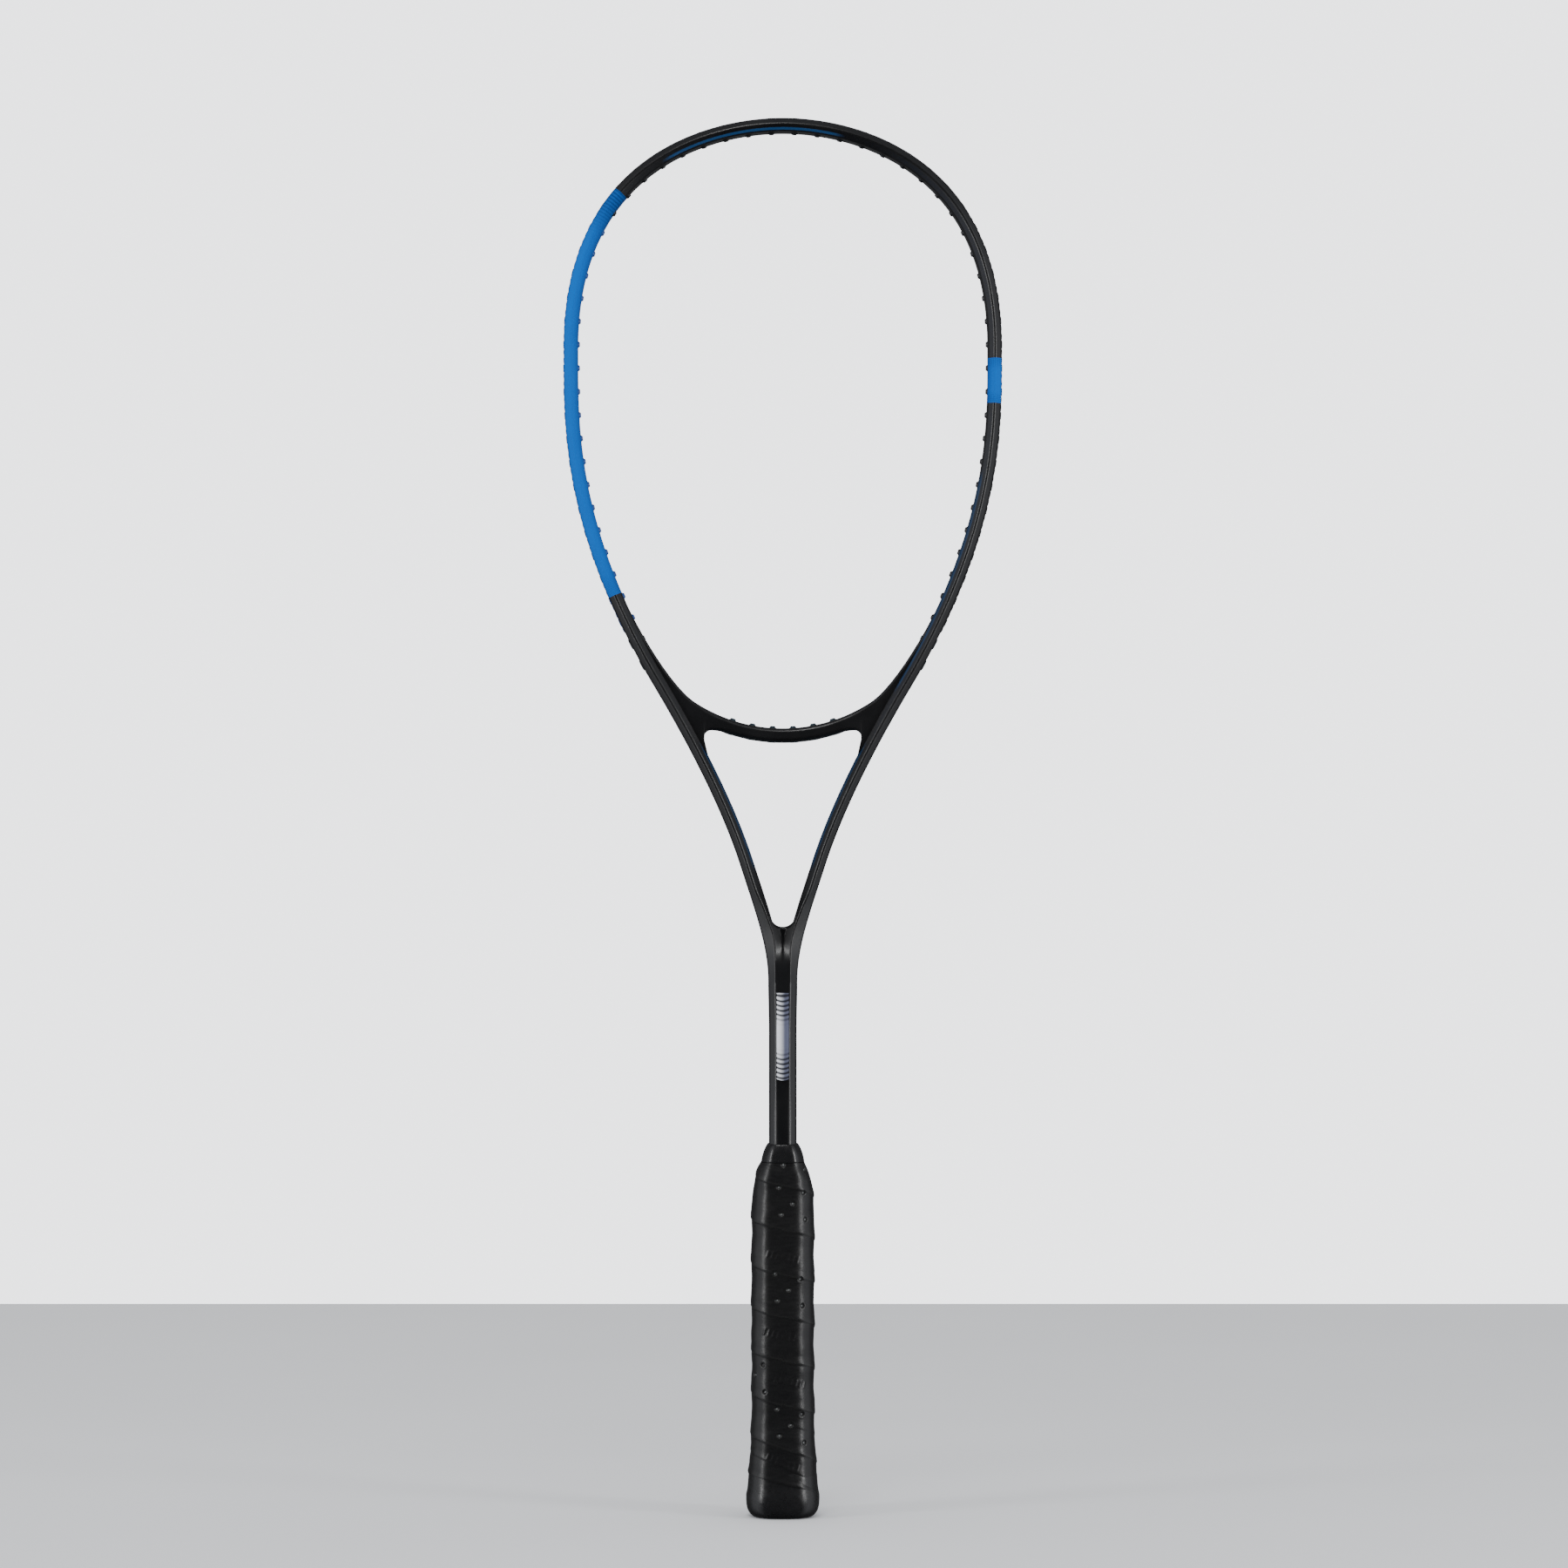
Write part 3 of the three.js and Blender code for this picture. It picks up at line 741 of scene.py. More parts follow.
def frame_bridge():
    """The bridge and both its corners, a little shallower towards the hoop."""
    upper, lower = (np.concatenate([edge[:0:-1] * [-1, 1], edge]) for edge in bridge_edges())
    rings = []
    for one, two in zip(upper, lower):
        width = np.linalg.norm(two - one)
        across = (two - one) / width
        share = ease(abs(one[0]), 10, 60)
        depth = BRIDGE_DEPTH - 1.0 * share
        edge = BRIDGE_SIDE - 0.5 * share
        bevel = min(1.5, 0.3 * width)
        corners = [
            [bevel, depth], [width - bevel, depth], [width, edge], [width, -edge],
            [width - bevel, -depth], [bevel, -depth], [0, -edge], [0, edge],
        ]
        section = rounded(corners, [0.7, 0.7, 0.9, 0.9, 0.7, 0.7, 0.9, 0.9], steps=3)
        flat = one + across * section[:, :1]
        rings.append(np.stack([flat[:, 0], -section[:, 1], flat[:, 1]], axis=-1))
    loft_piece(rings, "frame_bridge", "graphite_paint", GRAPHITE, "throat_bridge")


# ---------- Frame: the web of the fork, and the shaft ----------

WEB_HALF = 7.6  # half its width, which runs on inside the legs
WEB_TOP = 288.6  # lowest point of its round upper edge
WEB_RADIUS = 6.3
WEB_FRONT = 6.2  # half its own depth
WEB_LEAST = 3.0  # half its depth inside the legs
WEB_BLEND = 5.9  # distance from the axis where its edge slips into the leg
WEB_OVERLAP = 0.05  # into the shaft's top
WEB_EDGE = 0.9  # over which its upper edge turns away from the front
VALLEY = (266, 284)  # heights between which the valley of the two inner bevels deepens
VALLEY_SLOPE = 0.95
VALLEY_ROUND = 0.6


def height_over(x, line):
    """How high the right leg's line is at a distance from the axis."""
    return float(np.interp(abs(x), line[::-1, 0], line[::-1, 1]))


def frame_web():
    """Fills the fork. Its front is a valley between the ridges, with the flat web across it."""
    depth = BEAM_DEPTH / 2
    columns = np.concatenate([
        np.linspace(-WEB_HALF, -4.2, 9), np.linspace(-4.0, 4.0, 41), np.linspace(4.2, WEB_HALF, 9),
    ])
    leg_runs = head.runs[head.runs > head.half - 60]
    leg_line = head.at(leg_runs)
    leg_face = leg_line + head.inward(leg_runs) * OUTER_FACE
    steps = np.concatenate([np.linspace(0, 0.86, 30), np.linspace(0.88, 1, 9)])
    rings = []
    for x in columns:
        bottom = FORK_HEIGHT - STRIP_GAP - WEB_OVERLAP
        if abs(x) > FORK_HALF:
            bottom = max(height_over(x, leg_line) - 1, FORK_HEIGHT)
        inside = min(abs(x), WEB_RADIUS)
        top = WEB_TOP + WEB_RADIUS - math.sqrt(WEB_RADIUS**2 - inside**2)
        if abs(x) > WEB_BLEND:
            top = min(top, height_over(x, leg_face) - 0.5 * (abs(x) - WEB_BLEND))
        top = max(top, bottom + 5)
        levels = bottom + (top - bottom) * steps
        ridge = ridge_reach(levels)
        middle = math.hypot(x, VALLEY_ROUND)
        fall = VALLEY_SLOPE * ease(levels, *VALLEY) * np.clip(ridge - middle, 0, None)
        proud = np.maximum(depth + 0.01 - fall, WEB_FRONT)
        # beyond the ridge it dives into the leg, and above the shaft it stays behind the ridge
        beyond = np.clip(abs(x) - ridge - 0.15, 0, None)
        proud = proud - 2.5 * beyond - 0.1 * ease(levels, 284, 287) - 0.35 * ease(levels, 268, 280)
        proud = np.maximum(proud, WEB_LEAST)
        proud -= 1.1 * ease(levels, top - WEB_EDGE, top) ** 2
        front = np.stack([-proud, levels], axis=-1)
        outline = np.concatenate([front, front[::-1] * [-1, 1]])
        rings.append(np.stack([np.full(len(outline), x), outline[:, 0], outline[:, 1]], axis=-1))
    loft_piece(rings, "frame_fork_web", "graphite_paint", GRAPHITE, "fork_web", crease=50)


SHAFT_FOOT, SHAFT_TOP = (corner[2] for corner in node_box("shaft_tube"))
SHAFT_GROWS = 238  # height above which it grows as wide as the two legs
EDGE_ROUND = 1.8  # of its front edges, half as much from the badge upwards
BADGE_BLEND = (195, 212)  # heights between which that changes
SIDE_ROUND = 1.5


def shaft_corners(height, clear=0.0):
    """Its eight corners, with a clearance all round."""
    grown = ease(height, SHAFT_GROWS, FORK_HEIGHT)
    half_width, half_depth = node_box("shaft_tube")[1][:2] + clear
    width, depth = half_width + 0.35 * grown, half_depth
    flat, side = 3.3 + 0.4 * grown, 5.7 - 0.2 * grown
    return eight_corners(flat, width, side, depth)


def frame_shaft():
    """The shaft, from inside the butt cap up to the fork."""
    heights = np.concatenate([
        [SHAFT_FOOT, 60, 120, 170], np.linspace(178, 236, 20), np.linspace(SHAFT_GROWS, SHAFT_TOP, 26),
    ])
    rings = []
    for height in heights:
        front = EDGE_ROUND * (1 - 0.5 * ease(height, *BADGE_BLEND))
        radii = [front, SIDE_ROUND, SIDE_ROUND, front] * 2
        rings.append(at_height(rounded(shaft_corners(height), radii, steps=6), height))
    loft_piece(rings, "frame_shaft", "graphite_paint", GRAPHITE, "shaft_tube")


# ---------- Grommet strips ----------

STRIP_OUTER = OUTER_FACE + STRIP_PROUD
BARREL_SIDES = 20
NEAR_HOLE = [0, 0.3, 0.6, 0.8, 0.95, 1.15, 1.45, 1.8]  # where points lie close together round a hole
BARREL_RADIUS = 1.45
BORE_RADIUS = 0.8
NUB_LENGTH = 1.0  # of the barrel that shows inside the head
TOOTH_DEPTH = 0.18
TEETH = 3  # from one hole to the next
TROUGH_DEPTH = 0.45  # of the channel that a string lies in between two holes
SINK_DEPTH = 2.4  # of the pit over each bore


def barrel(shape, line, run):
    """A bored barrel across a member, with a rounded nub at its inner end."""
    root = -STRIP_OUTER
    tip = OUTER_FACE + NUB_LENGTH
    outside = [
        (BORE_RADIUS, root + 0.02), (BORE_RADIUS + 0.25, root - 0.1), (1.7, root - 0.08), (1.9, root + 0.1),
        (BARREL_RADIUS, root + 0.6), (BARREL_RADIUS, OUTER_FACE - 0.4), (1.9, OUTER_FACE - 0.1),
        (1.75, OUTER_FACE + 0.12), (1.5, OUTER_FACE + 0.3), (1.3, tip - 0.4), (1.14, tip - 0.15),
        (0.98, tip), (BORE_RADIUS, tip - 0.1),
    ]
    centre, along, inward = line.at(run), line.along(run), line.inward(run)
    angles = np.linspace(0, math.tau, BARREL_SIDES, endpoint=False)
    rings = []
    for radius, reach in outside:
        flat = centre + inward * reach + np.outer(radius * np.cos(angles), along)
        rings.append(np.stack([flat[:, 0], radius * np.sin(angles), flat[:, 1]], axis=-1))
    shape.add_loft(rings, closed=True)


def spaced(hole_runs, start, end):
    """Runs for a strip's rings: close together round each hole, and further apart between."""
    offsets = mirrored(np.array(NEAR_HOLE + [2.3, 2.9, 3.5, 4.1, 4.7, 5.3]))
    runs = (hole_runs[:, None] + offsets).ravel()
    runs = runs[(runs > start + 0.2) & (runs < end - 0.2)]
    ends = [start, start + 0.15, end - 0.15, end]
    return np.unique(np.round(np.concatenate([runs, ends]), 3))


def strip_piece(name, line, start, end, hole_runs, material, node, teeth=True, channels=True):
    """A strip between two runs of a line, with a barrel at each hole."""
    runs = spaced(hole_runs, start, end)
    across = mirrored(np.array(NEAR_HOLE + [2.2, 2.5, 2.65]))
    edge = STRIP_WIDTH / 2
    near = np.abs(runs[:, None] - hole_runs)
    gap = near.min(axis=1)
    height = np.full((len(runs), len(across)), STRIP_OUTER)
    if teeth:
        phase = np.cos(TEETH * math.tau * (runs - hole_runs[0]) / PITCH)
        height -= (TOOTH_DEPTH * (1 - phase) / 2)[:, None]
    height -= 0.12 * ease(np.abs(across), edge - 0.8, edge)
    if channels:
        order = np.argmin(near, axis=1)
        towards = np.where(runs > hole_runs[order], order, order - 1)
        paired = (towards % 2 == 0) & (runs > hole_runs[0]) & (runs < hole_runs[-1])
        trough = (1 - ease(np.abs(across), 0.6, 1.15)) * paired[:, None]
        height -= TROUGH_DEPTH * trough
    boss = 1 - ease(gap, 1.9, 2.6)
    ring = np.hypot(gap[:, None], across)
    height += 0.08 * boss[:, None] * (1 - ease(ring, 1.6, 2.2))
    height = np.where(ring < 0.86, STRIP_OUTER - SINK_DEPTH, height)
    taper = ease(np.minimum(runs - start, end - runs), 0, 0.3)[:, None]
    height -= 0.25 * (1 - taper)
    under = STRIP_OUTER - STRIP_THICK
    side = under + 0.75
    top = np.stack([np.broadcast_to(across, height.shape), -height], axis=-1)
    foot = np.array([[edge, -side], [edge, -under], [-edge, -under], [-edge, -side]])
    section = np.concatenate([top, np.broadcast_to(foot, (len(runs), 4, 2))], axis=1)
    shape = Shape()
    shape.add_loft(swept(line, runs, section))
    for run in hole_runs:
        barrel(shape, line, run)
    shape.make(name, material, node, crease=35)


def row_of_holes(first, count, pitch):
    return (np.arange(first, first + count) + 0.5) * pitch


def grommets():
    """The bumper, both side strips, the bridge's strip and the four single grommets."""
    crown = row_of_holes(-BUMPER_HOLES, 2 * BUMPER_HOLES, PITCH)
    strip_piece("bumper", head, -HEAD_ENDS + STRIP_GAP, HEAD_ENDS - STRIP_GAP, crown,
                NYLON, "bumper_guard", teeth=False, channels=False)
    side = row_of_holes(BUMPER_HOLES, SIDE_HOLES, PITCH)
    strip_piece("side_strip_right", head, HEAD_ENDS + STRIP_GAP, SIDE_ENDS - STRIP_GAP, side,
                NYLON, "grommet_strip_right")
    strip_piece("side_strip_left", head, -SIDE_ENDS + STRIP_GAP, -HEAD_ENDS - STRIP_GAP, -side[::-1],
                BLUE_NYLON, "grommet_strip_left")
    under = row_of_holes(-BRIDGE_HOLES // 2, BRIDGE_HOLES, BRIDGE_PITCH)
    reach = BRIDGE_HOLES / 2 * BRIDGE_PITCH
    strip_piece("bridge_strip", bridge, -reach + STRIP_GAP, reach - STRIP_GAP, under,
                TEAL_NYLON, "grommet_strip_bridge", teeth=False)
    for n, level in enumerate(("upper", "lower")):
        run = SIDE_ENDS + (n + 0.5) * PITCH
        for side_name, sign in (("left", -1), ("right", 1)):
            strip_piece(f"throat_grommet_{side_name}_{level}_moulding", head,
                        sign * run - STRIP_WIDTH / 2, sign * run + STRIP_WIDTH / 2,
                        np.array([sign * run]), TEAL_NYLON,
                        f"throat_grommet_{side_name}_{level}", teeth=False, channels=False)


# ---------- Handle ----------

# The grip's height, half width and half depth
GRIP_STATIONS = np.array([
    [17.3, 17.2, 15.65], [26, 16.65, 15.1], [36, 16.15, 14.55], [48, 15.8, 14.2], [60, 15.7, 14.2],
    [100, 15.7, 14.2], [138, 15.75, 14.2], [149, 15.65, 14.15], [156, 15.3, 13.95], [162, 14.6, 13.65],
    [168, 13.3, 13.1], [173.6, 10.9, 12.1],
])
GRIP_FOOT, GRIP_TOP = GRIP_STATIONS[0, 0], GRIP_STATIONS[-1, 0]
FRONT_SHARE = 0.6  # of the width that the front flat takes
SIDE_SHARE = 0.5  # of the depth that the side flats take
GRIP_SOFTNESS = 0.5  # 0 is an octagon, and 1 an ellipse
SOFT_BLEND = (152, 172)  # heights between which the grip goes back to an octagon


def octagon(half_width, half_depth, radius, columns, softness=0.0):
    """A rounded octagon resampled evenly, from the middle of its front face round by +X.

    Softness moves it towards the ellipse that has the same width and depth.
    """
    corners = eight_corners(FRONT_SHARE, 1, SIDE_SHARE, 1) * [half_width, half_depth]
    outline = rounded(corners, radius, steps=8, support=0.3)
    outline = np.concatenate([[[0, -half_depth]], outline, [[0, -half_depth]]])
    outline = finer(outline, 0.5)
    beyond = np.linalg.norm(outline / [half_width, half_depth], axis=1, keepdims=True)
    points, perimeter = resampled(outline * (1 - softness + softness / beyond), columns)
    travel = np.roll(points, -1, axis=0) - np.roll(points, 1, axis=0)
    travel /= np.linalg.norm(travel, axis=1, keepdims=True)
    outward = np.stack([travel[:, 1], -travel[:, 0]], axis=-1)
    return points, outward, perimeter


def resampled(outline, columns):
    """Evenly spaced points of an outline that ends where it starts, and its length."""
    runs = path_runs(outline)
    return path_points(np.linspace(0, runs[-1], columns, endpoint=False), runs, outline), runs[-1]


def finer(outline, spacing):
    """The same outline with points added, so that no side is longer than the spacing."""
    made = [outline[:1]]
    for one, two in zip(outline[:-1], outline[1:]):
        count = max(1, math.ceil(np.linalg.norm(two - one) / spacing))
        made.append(one + (two - one) * np.linspace(0, 1, count + 1)[1:, None])
    return np.concatenate(made)


def smooth_stations(stations, heights):
    """Half widths and depths at heights, by a spline through the stations."""
    stations = np.asarray(stations, float)
    z = stations[:, 0]
    slopes = np.gradient(stations[:, 1:], z, axis=0)
    made = []
    for height in heights:
        i = int(np.clip(np.searchsorted(z, height) - 1, 0, len(z) - 2))
        span = z[i + 1] - z[i]
        t = np.clip((height - z[i]) / span, 0, 1)
        h00, h10 = 2 * t**3 - 3 * t**2 + 1, t**3 - 2 * t**2 + t
        h01, h11 = -2 * t**3 + 3 * t**2, t**3 - t**2
        made.append(
            h00 * stations[i, 1:] + h10 * span * slopes[i]
            + h01 * stations[i + 1, 1:] + h11 * span * slopes[i + 1]
        )
    return np.array(made)


WRAP_SLANT = 4.2  # how much the tape's lower edge rises at the left and falls at the right
SLANT_REACH = 34  # how far up the grip that fades out
FLARE = 0.055  # how much wider the column gets for each millimetre downwards
WRAP_PITCH = 21.3
SEAM_HEIGHT = 34.5  # of one overlap, at the middle of the front
OVERLAP = 4.5
TAPE_STEP = 0.34
TAPE_BULGE = 0.18  # of each turn's middle
RIPPLE = 0.24
HOLE_SPACING = 12.8
HOLE_RADIUS = 1.25
HOLE_DEPTH = 0.8
# Groups of five holes in the tape: height of the middle on the front face, and how far round
HOLE_GROUPS = [
    (46, 4), (70, -16), (112, 3), (154, 5), (178, 6),
    (60, 50), (86, 44), (128, 52), (150, 46), (36, 60), (98, -40), (140, -36), (58, -42),
]
# Rows of seven raised dashes, placed in the same way
DASH_GROUPS = [(128, 0), (90, -2), (67, 4), (28, 0), (134, 44), (74, -46), (104, 52), (160, -48)]
DASH_PITCH = 2.6
DASH_LEAN = 0.35
DASH_FALL = 0.21  # of a row, for each millimetre round the grip
DASH_RISE = 0.22


def wrap_relief(height, around, perimeter):
    """How far the tape stands off its plain column, and where its edges are."""
    share = around / perimeter
    wobble = 0.35 * np.sin(2.3 * share * math.tau + 0.11 * height) + 0.25 * np.sin(0.37 * height + 1.3)
    turn = (height - SEAM_HEIGHT + wobble) / WRAP_PITCH + share
    above = ((turn + 0.5) % 1.0 - 0.5) * WRAP_PITCH
    relief = tape_edge(above) + TAPE_BULGE * np.cos(math.tau * (above - 4) / WRAP_PITCH)
    rim = np.exp(-((above - 0.35) / 0.5) ** 2)
    double = 1 - ease(height, 38, 52)  # the tape starts with a double turn
    second = ((turn + 0.95) % 1.0 - 0.5) * WRAP_PITCH
    return relief + 0.7 * double * tape_edge(second), rim


def tape_edge(above):
    """The step at the edge of a turn, which thins out above it."""
    return TAPE_STEP * ease(above, -0.5, 0.4) * (1 - ease(above, 0.6, OVERLAP))


def from_run(around, run, perimeter):
    """How far round the grip each point is from a run, the shorter way."""
    return (around - run + perimeter / 2) % perimeter - perimeter / 2


def pressed(relief, height, around, perimeter):
    """Presses a round dimple with a faint lip at each hole. Gives the relief, and the dimples."""
    sunk = np.zeros_like(relief)
    for z, run in tape_holes():
        far = np.hypot(from_run(around, run, perimeter), height - z)
        bowl = np.clip(1 - (far / HOLE_RADIUS) ** 2, 0, 1)
        lip = 0.06 * np.exp(-((far - 1.3 * HOLE_RADIUS) / 0.4) ** 2)
        relief = relief - HOLE_DEPTH * bowl**0.9 + lip
        # the dimple, with a peak at its middle where the grip's material paints a glint
        sunk = np.maximum(sunk, 0.9 * ease(bowl, 0.05, 0.3) + 0.1 * ease(bowl, 0.75, 1.0))
    return relief, sunk


def dashed(relief, height, around, perimeter):
    """Raises the rows of slanted dashes."""
    for z, run in DASH_GROUPS:
        for n in range(-3, 4):
            aside = from_run(around, run + DASH_PITCH * n, perimeter)
            across = aside - DASH_LEAN * (height - z)
            along = np.abs(height - z + DASH_FALL * DASH_PITCH * n)
            relief = relief + DASH_RISE * np.exp(-(across / 0.5) ** 2) * (1 - ease(along, 1.3, 2.1))
    return relief


def tape_holes():
    """Each hole's height and how far round the grip it is, in fives."""
    slope = WRAP_PITCH / 100
    points = []
    for z, run in HOLE_GROUPS:
        for i, j in ((-0.5, -0.5), (-0.5, 0.5), (0.5, -0.5), (0.5, 0.5), (0, 0)):
            aside = i * HOLE_SPACING - 0.1 * j * HOLE_SPACING
            points.append((z + j * HOLE_SPACING - slope * aside, run + aside))
    return points


def slant(x, height):
    """How far the tape's lowest rows are moved up or down, for its slanted lower edge."""
    fade = 1 - ease(height, GRIP_FOOT, GRIP_FOOT + SLANT_REACH)
    return -WRAP_SLANT * x / GRIP_STATIONS[0, 1] * fade


def grip_wrap():
    """The tape as one sleeve, with a fine relief outside and a plain wall inside."""
    columns, rows, inner_rows = 208, 400, 12
    heights = np.linspace(GRIP_FOOT, GRIP_TOP, rows)
    sizes = smooth_stations(GRIP_STATIONS, heights)
    rings, outwards, perimeters = [], [], []
    for z, (width, depth) in zip(heights, sizes):
        softness = GRIP_SOFTNESS * (1 - ease(z, *SOFT_BLEND))
        points, outward, perimeter = octagon(width - 0.3, depth - 0.3, 3.4, columns, softness)
        rings.append(points)
        outwards.append(outward)
        perimeters.append(perimeter)
    rings, outwards = np.array(rings), np.array(outwards)
    perimeter = np.array(perimeters)[:, None]
    around = np.arange(columns)[None, :] / columns * perimeter
    height = heights[:, None]
    relief, rim = wrap_relief(height, around, perimeter)
    relief, sunk = pressed(relief, height, around, perimeter)
    relief = dashed(relief, height, around, perimeter)
    ripple = np.array([
        [noise.noise(Vector((x * 0.09, y * 0.09, z * 0.16))) for x, y in ring]
        for ring, z in zip(rings, heights)
    ])
    relief = relief + RIPPLE * ripple
    ends = ease(heights, GRIP_FOOT, GRIP_FOOT + 1.2) * (1 - ease(heights, GRIP_TOP - 1.5, GRIP_TOP))
    fade = ends[:, None]
    relief = relief * (0.35 + 0.65 * fade)
    relief = relief + 0.32 * (1 - ease(height, GRIP_FOOT + 0.2, GRIP_FOOT + 2.5))
    moved = slant(rings[..., 0], height)
    relief = relief - FLARE * moved
    outer = rings + outwards * relief[..., None]
    outer = np.concatenate([outer, (height + moved)[..., None]], axis=-1)
    inner = []
    for z in np.linspace(GRIP_TOP, GRIP_FOOT, inner_rows):
        width, depth = smooth_stations(GRIP_STATIONS, [z])[0]
        points = octagon(width - 1.8, depth - 1.8, 3.0, columns)[0]
        inner.append(np.concatenate([points, z + slant(points[:, :1], z)], axis=1))
    hidden = np.zeros((inner_rows, columns))
    edge = np.concatenate([np.clip(rim, 0, 1) * fade, hidden])
    hole = np.concatenate([sunk, hidden])
    rings = np.concatenate([outer, np.array(inner)])
    loft_piece(rings, "wrap", "grip_tape", GRIP, "grip_wrap", crease=60, closed=True, edge=edge, hole=hole)


def lofted_handle(profile, radius, columns, softness=0.0):
    """Rings through (height, half width, half depth) rows."""
    rings = []
    for z, width, depth in profile:
        points = octagon(width, depth, min(radius, 0.45 * width), columns, softness)[0]
        rings.append(at_height(points, z))
    return rings


def butt_cap():
    """A cup with a rolled rim and a ring under it. Rows are height, half width and half depth."""
    outside = [
        [0, 13.4, 12], [0.35, 14.5, 13.05], [0.8, 15.25, 13.75], [1.4, 15.95, 14.4], [2.2, 16.6, 15],
        [3.2, 17.15, 15.6], [4.5, 17.6, 16], [6, 17.87, 16.25], [8, 18, 16.4], [10.5, 18.02, 16.42],
        [12, 17.75, 16.15], [13.5, 17.4, 15.8], [17, 17.05, 15.45], [20, 16.85, 15.2], [22, 16.6, 14.95],
        [22.6, 16.2, 14.6], [23, 15.7, 14.1], [33, 14.7, 13.1],
    ]
    inside = [[33, 14.0, 12.4], [3, 14.0, 12.4], [3, 1, 1]]
    under = [[0.0, 1, 1], [0.0, 9.0, 7.8], [0.25, 9.2, 8.0], [0.25, 10.0, 8.8], [0.0, 10.2, 9.0]]
    rings = lofted_handle(under + outside + inside, 4.2, 144, GRIP_SOFTNESS)
    loft_piece(rings, "cap", "cap_black", CAP, "butt_cap", crease=50)


def collar():
    """The rubber ring, which tapers up to the shaft. Its rows are as the cap's."""
    columns = 128
    outside = [
        [173.7, 10.0, 11.6], [173.75, 10.35, 11.9], [174.1, 10.55, 12.05], [174.8, 10.42, 12.0],
        [176, 10.18, 11.9], [177.3, 9.85, 11.75], [178.4, 9.5, 11.55], [179.4, 9.1, 11.3],
        [180.4, 8.65, 10.95], [181.2, 8.25, 10.65], [181.8, 7.9, 10.4], [182.2, 7.6, 10.2],
        [182.5, 7.3, 10.0], [182.6, 7.05, 9.8],
    ]
    rings = lofted_handle(outside, 3.2, columns)
    corners = shaft_corners(outside[-1][0], clear=0.1)
    front = [[0, corners[0][1]]]
    ring = resampled(np.concatenate([front, rounded(corners, 0.8, steps=4), front]), columns)[0]
    rings += [at_height(ring, z) for z in (182.3, 178, 173.7)]
    loft_piece(rings, "collar", "collar_rubber", RUBBER, "grip_collar", crease=50, closed=True)


# ---------- Badge ----------

BADGE_HALF_WIDTH = 3.05
BADGE_CROWN = 0.62  # how far its middle stands out
BADGE_STEPS = 300
RINGS = 7  # at each end
RING_PITCH = 2.3
RING_SAG = 0.8  # how much lower a ring is in its middle
GROOVE_LEVEL = 0.22  # depth of the groove between two rings


def badge():
    """A crowned plate with rounded rings at each end, parted by grooves that fade to the middle."""
    low, high = node_box("shaft_badge")
    half = BADGE_HALF_WIDTH
    front, back = low[1], high[1]
    bottom, top = low[2] + RING_SAG, high[2]
    levels = np.linspace(bottom, top, BADGE_STEPS)
    share = np.concatenate([[-1, -0.97], np.linspace(-0.9, 0.9, 23), [0.97, 1]])
    rings, groove_shades, asides = [], [], []
    for z in levels:
        sag = RING_SAG * (1 - share**2) * (1 - ease(z, top - 2.2, top))
        from_end = min(top - z, z - bottom)
        strength = 1 - ease(from_end, (RINGS - 3) * RING_PITCH, RINGS * RING_PITCH)
        wave = 0.5 + 0.5 * math.cos(math.tau * (from_end / RING_PITCH - 0.45))
        groove = strength * wave**1.3
        lift = BADGE_CROWN * (1 - share**2) - GROOVE_LEVEL * groove
        if z in (levels[0], levels[-1]):
            lift = lift - 0.15
        depth = front + 0.3 - np.maximum(lift, -0.05)
        face = np.stack([share * half, depth, z - sag], axis=-1)
        foot = np.array([[half, back, z], [-half, back, z]])
        rings.append(np.concatenate([face, foot]))
        # painted shade: deepest in the grooves, and full along the plate's side edges and on its back
        shade = groove + 0.4 * (np.abs(share) > 0.95)
        groove_shades.append(np.concatenate([shade, [1.0, 1.0]]))
        # how far across the plate each point lies, which the material uses for painted shade towards the
        # right
        asides.append(np.concatenate([share, [1.0, -1.0]]))
    values = {"dark": np.array(groove_shades), "aside": np.array(asides)}
    loft_piece(rings, "badge", "badge_silver", BADGE, "shaft_badge", crease=60, **values)


# ---------- Inner pieces that keep their CAD shape ----------


def finish_node(name, material):
    frame["nodes"][name].material_slots[0].material = material


frame_hairpin()
frame_bridge()
frame_web()
frame_shaft()
grommets()
grip_wrap()
butt_cap()
collar()
badge()

FOAM = foam_finish("pallet_foam")
STEEL = steel_finish("staple_steel")
TAPE = grip_finish("finishing_tape")
for hand in ("front", "rear"):
    finish_node(f"pallet_{hand}", FOAM)
for hand in ("left", "right"):
    finish_node(f"butt_staple_{hand}", STEEL)
finish_node("finishing_tape", TAPE)

# ---------- Studio ----------

FLOOR_HALF = 1.06
CAMERA_DISTANCE = 2.6
CAMERA_SIDE, CAMERA_HEIGHT = 0.0006, 0.3587
VIEW_HEIGHT = 0.7686  # of the picture, where the racket stands
LAMP_AIM = (0, 0, 0.38)
# What reflections see in the world. Directions run from -1 to 1
SIDE_GLOW = (0.78, 0.95)  # how far to the side it starts, and its strength
SIDE_LIFT = 0.6  # how much a direction's height counts as being to the side
SIDE_FADE = (0.35, 0.2)  # how far behind the racket it stops fading, and what is left there
BACK_GLOW = 0.08
TOP_GLOW = 0.18
FRONT_GLOW = 0.012
# How bright the world is for diffuse light, and for the camera
AMBIENT = 1.0
BACKDROP = 3.0


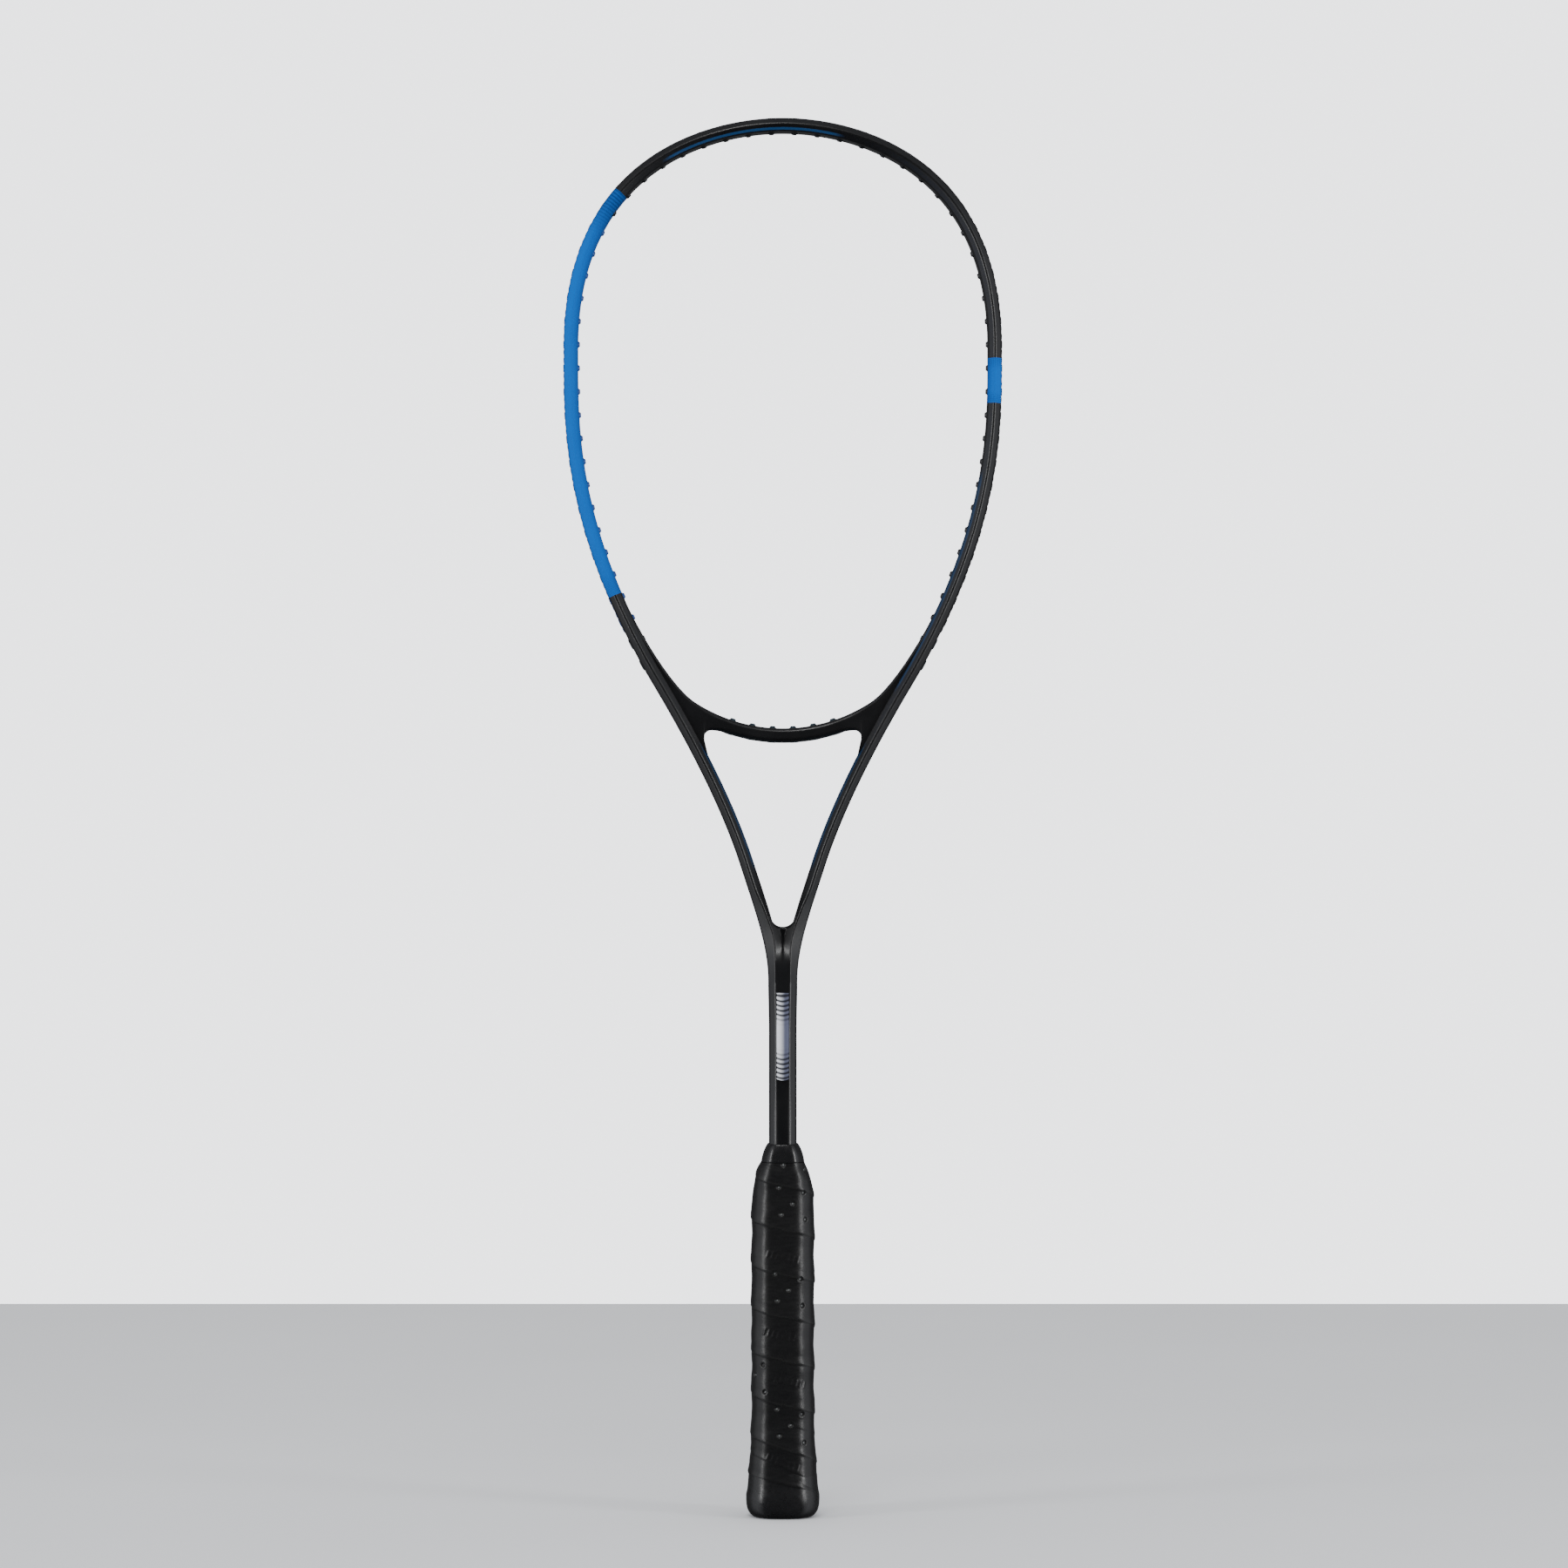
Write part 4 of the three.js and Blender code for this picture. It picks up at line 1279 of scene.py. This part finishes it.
def floor():
    """A pale matt floor, left out of reflections."""
    mesh = bpy.data.meshes.new("floor")
    corners = [(x * FLOOR_HALF, y * FLOOR_HALF, 0) for x, y in ((-1, -1), (1, -1), (1, 1), (-1, 1))]
    mesh.from_pydata(corners, [], [(0, 1, 2, 3)])
    finish = Finish("floor_pale", Roughness=0.85)
    finish.colour(finish.noise(3.0, 3), (0.70, 0.71, 0.73), (0.76, 0.77, 0.79))
    mesh.materials.append(finish.material)
    made = bpy.data.objects.new("floor", mesh)
    made.visible_glossy = False
    bpy.context.scene.collection.objects.link(made)


def softbox(name, place, size, power):
    """A lamp that only its light and its reflections show."""
    lamp = bpy.data.lights.new(name, "AREA")
    lamp.shape = "RECTANGLE"
    lamp.size, lamp.size_y = size
    lamp.energy = power
    made = bpy.data.objects.new(name, lamp)
    made.location = place
    made.rotation_euler = (Vector(LAMP_AIM) - Vector(place)).to_track_quat("-Z", "Y").to_euler()
    made.visible_camera = False
    bpy.context.scene.collection.objects.link(made)


def world():
    """Pale to the camera and even in diffuse light. Reflections are bright at the sides and
    overhead, and dark towards the front."""
    made = bpy.data.worlds.new("studio")
    bpy.context.scene.world = made
    made.use_nodes = True
    made.node_tree.nodes.clear()
    sky = Nodes(made.node_tree)

    def background(colour, strength):
        inputs = {"Color": (*colour, 1.0), "Strength": strength}
        return sky.node("ShaderNodeBackground", inputs).outputs[0]

    place = sky.node("ShaderNodeTexCoord").outputs["Generated"]
    x, y, z = sky.node("ShaderNodeSeparateXYZ", {0: place}).outputs
    lift = sky.times(sky.times(z, z), SIDE_LIFT)
    reach = sky.math("SQRT", sky.math("MULTIPLY_ADD", x, x, lift))
    aside = sky.remap(reach, SIDE_GLOW[0], 1.0, 0.0, SIDE_GLOW[1])
    ahead = sky.remap(y, 0.0, SIDE_FADE[0], 1.0, SIDE_FADE[1])
    aside = sky.times(aside, ahead)
    behind = sky.remap(y, 0.1, 1.0, 0.0, BACK_GLOW)
    over = sky.remap(z, 0.5, 1.0, 0.0, TOP_GLOW)
    glow = sky.math("ADD", sky.math("ADD", aside, behind), sky.math("ADD", over, FRONT_GLOW))
    shine = background((0.93, 0.95, 1.0), glow)
    even = background((0.97, 0.98, 1.0), AMBIENT)
    pale = background((0.96, 0.97, 1.0), BACKDROP)
    path = sky.node("ShaderNodeLightPath").outputs
    lit = sky.node("ShaderNodeMixShader", {0: path["Is Glossy Ray"], 1: even, 2: shine}).outputs[0]
    seen = sky.node("ShaderNodeMixShader", {0: path["Is Camera Ray"], 1: lit, 2: pale}).outputs[0]
    sky.node("ShaderNodeOutputWorld", {"Surface": seen})


def camera():
    """Level, square to the strings, and just above the middle of the racket."""
    data = bpy.data.cameras.new("camera")
    data.sensor_fit = "HORIZONTAL"
    data.angle = 2 * math.atan(VIEW_HEIGHT / 2 / CAMERA_DISTANCE)
    made = bpy.data.objects.new("camera", data)
    made.location = (CAMERA_SIDE, -CAMERA_DISTANCE, CAMERA_HEIGHT)
    made.rotation_euler = (math.pi / 2, 0, 0)
    bpy.context.scene.collection.objects.link(made)
    bpy.context.scene.camera = made


floor()
world()
softbox("left_box", (-1.35, -0.72, 0.5), (0.3, 1.3), 11)
softbox("right_box", (1.35, -0.72, 0.5), (0.3, 1.3), 12)
softbox("top_box", (-0.2, -0.8, 1.8), (0.35, 0.35), 7)
camera()
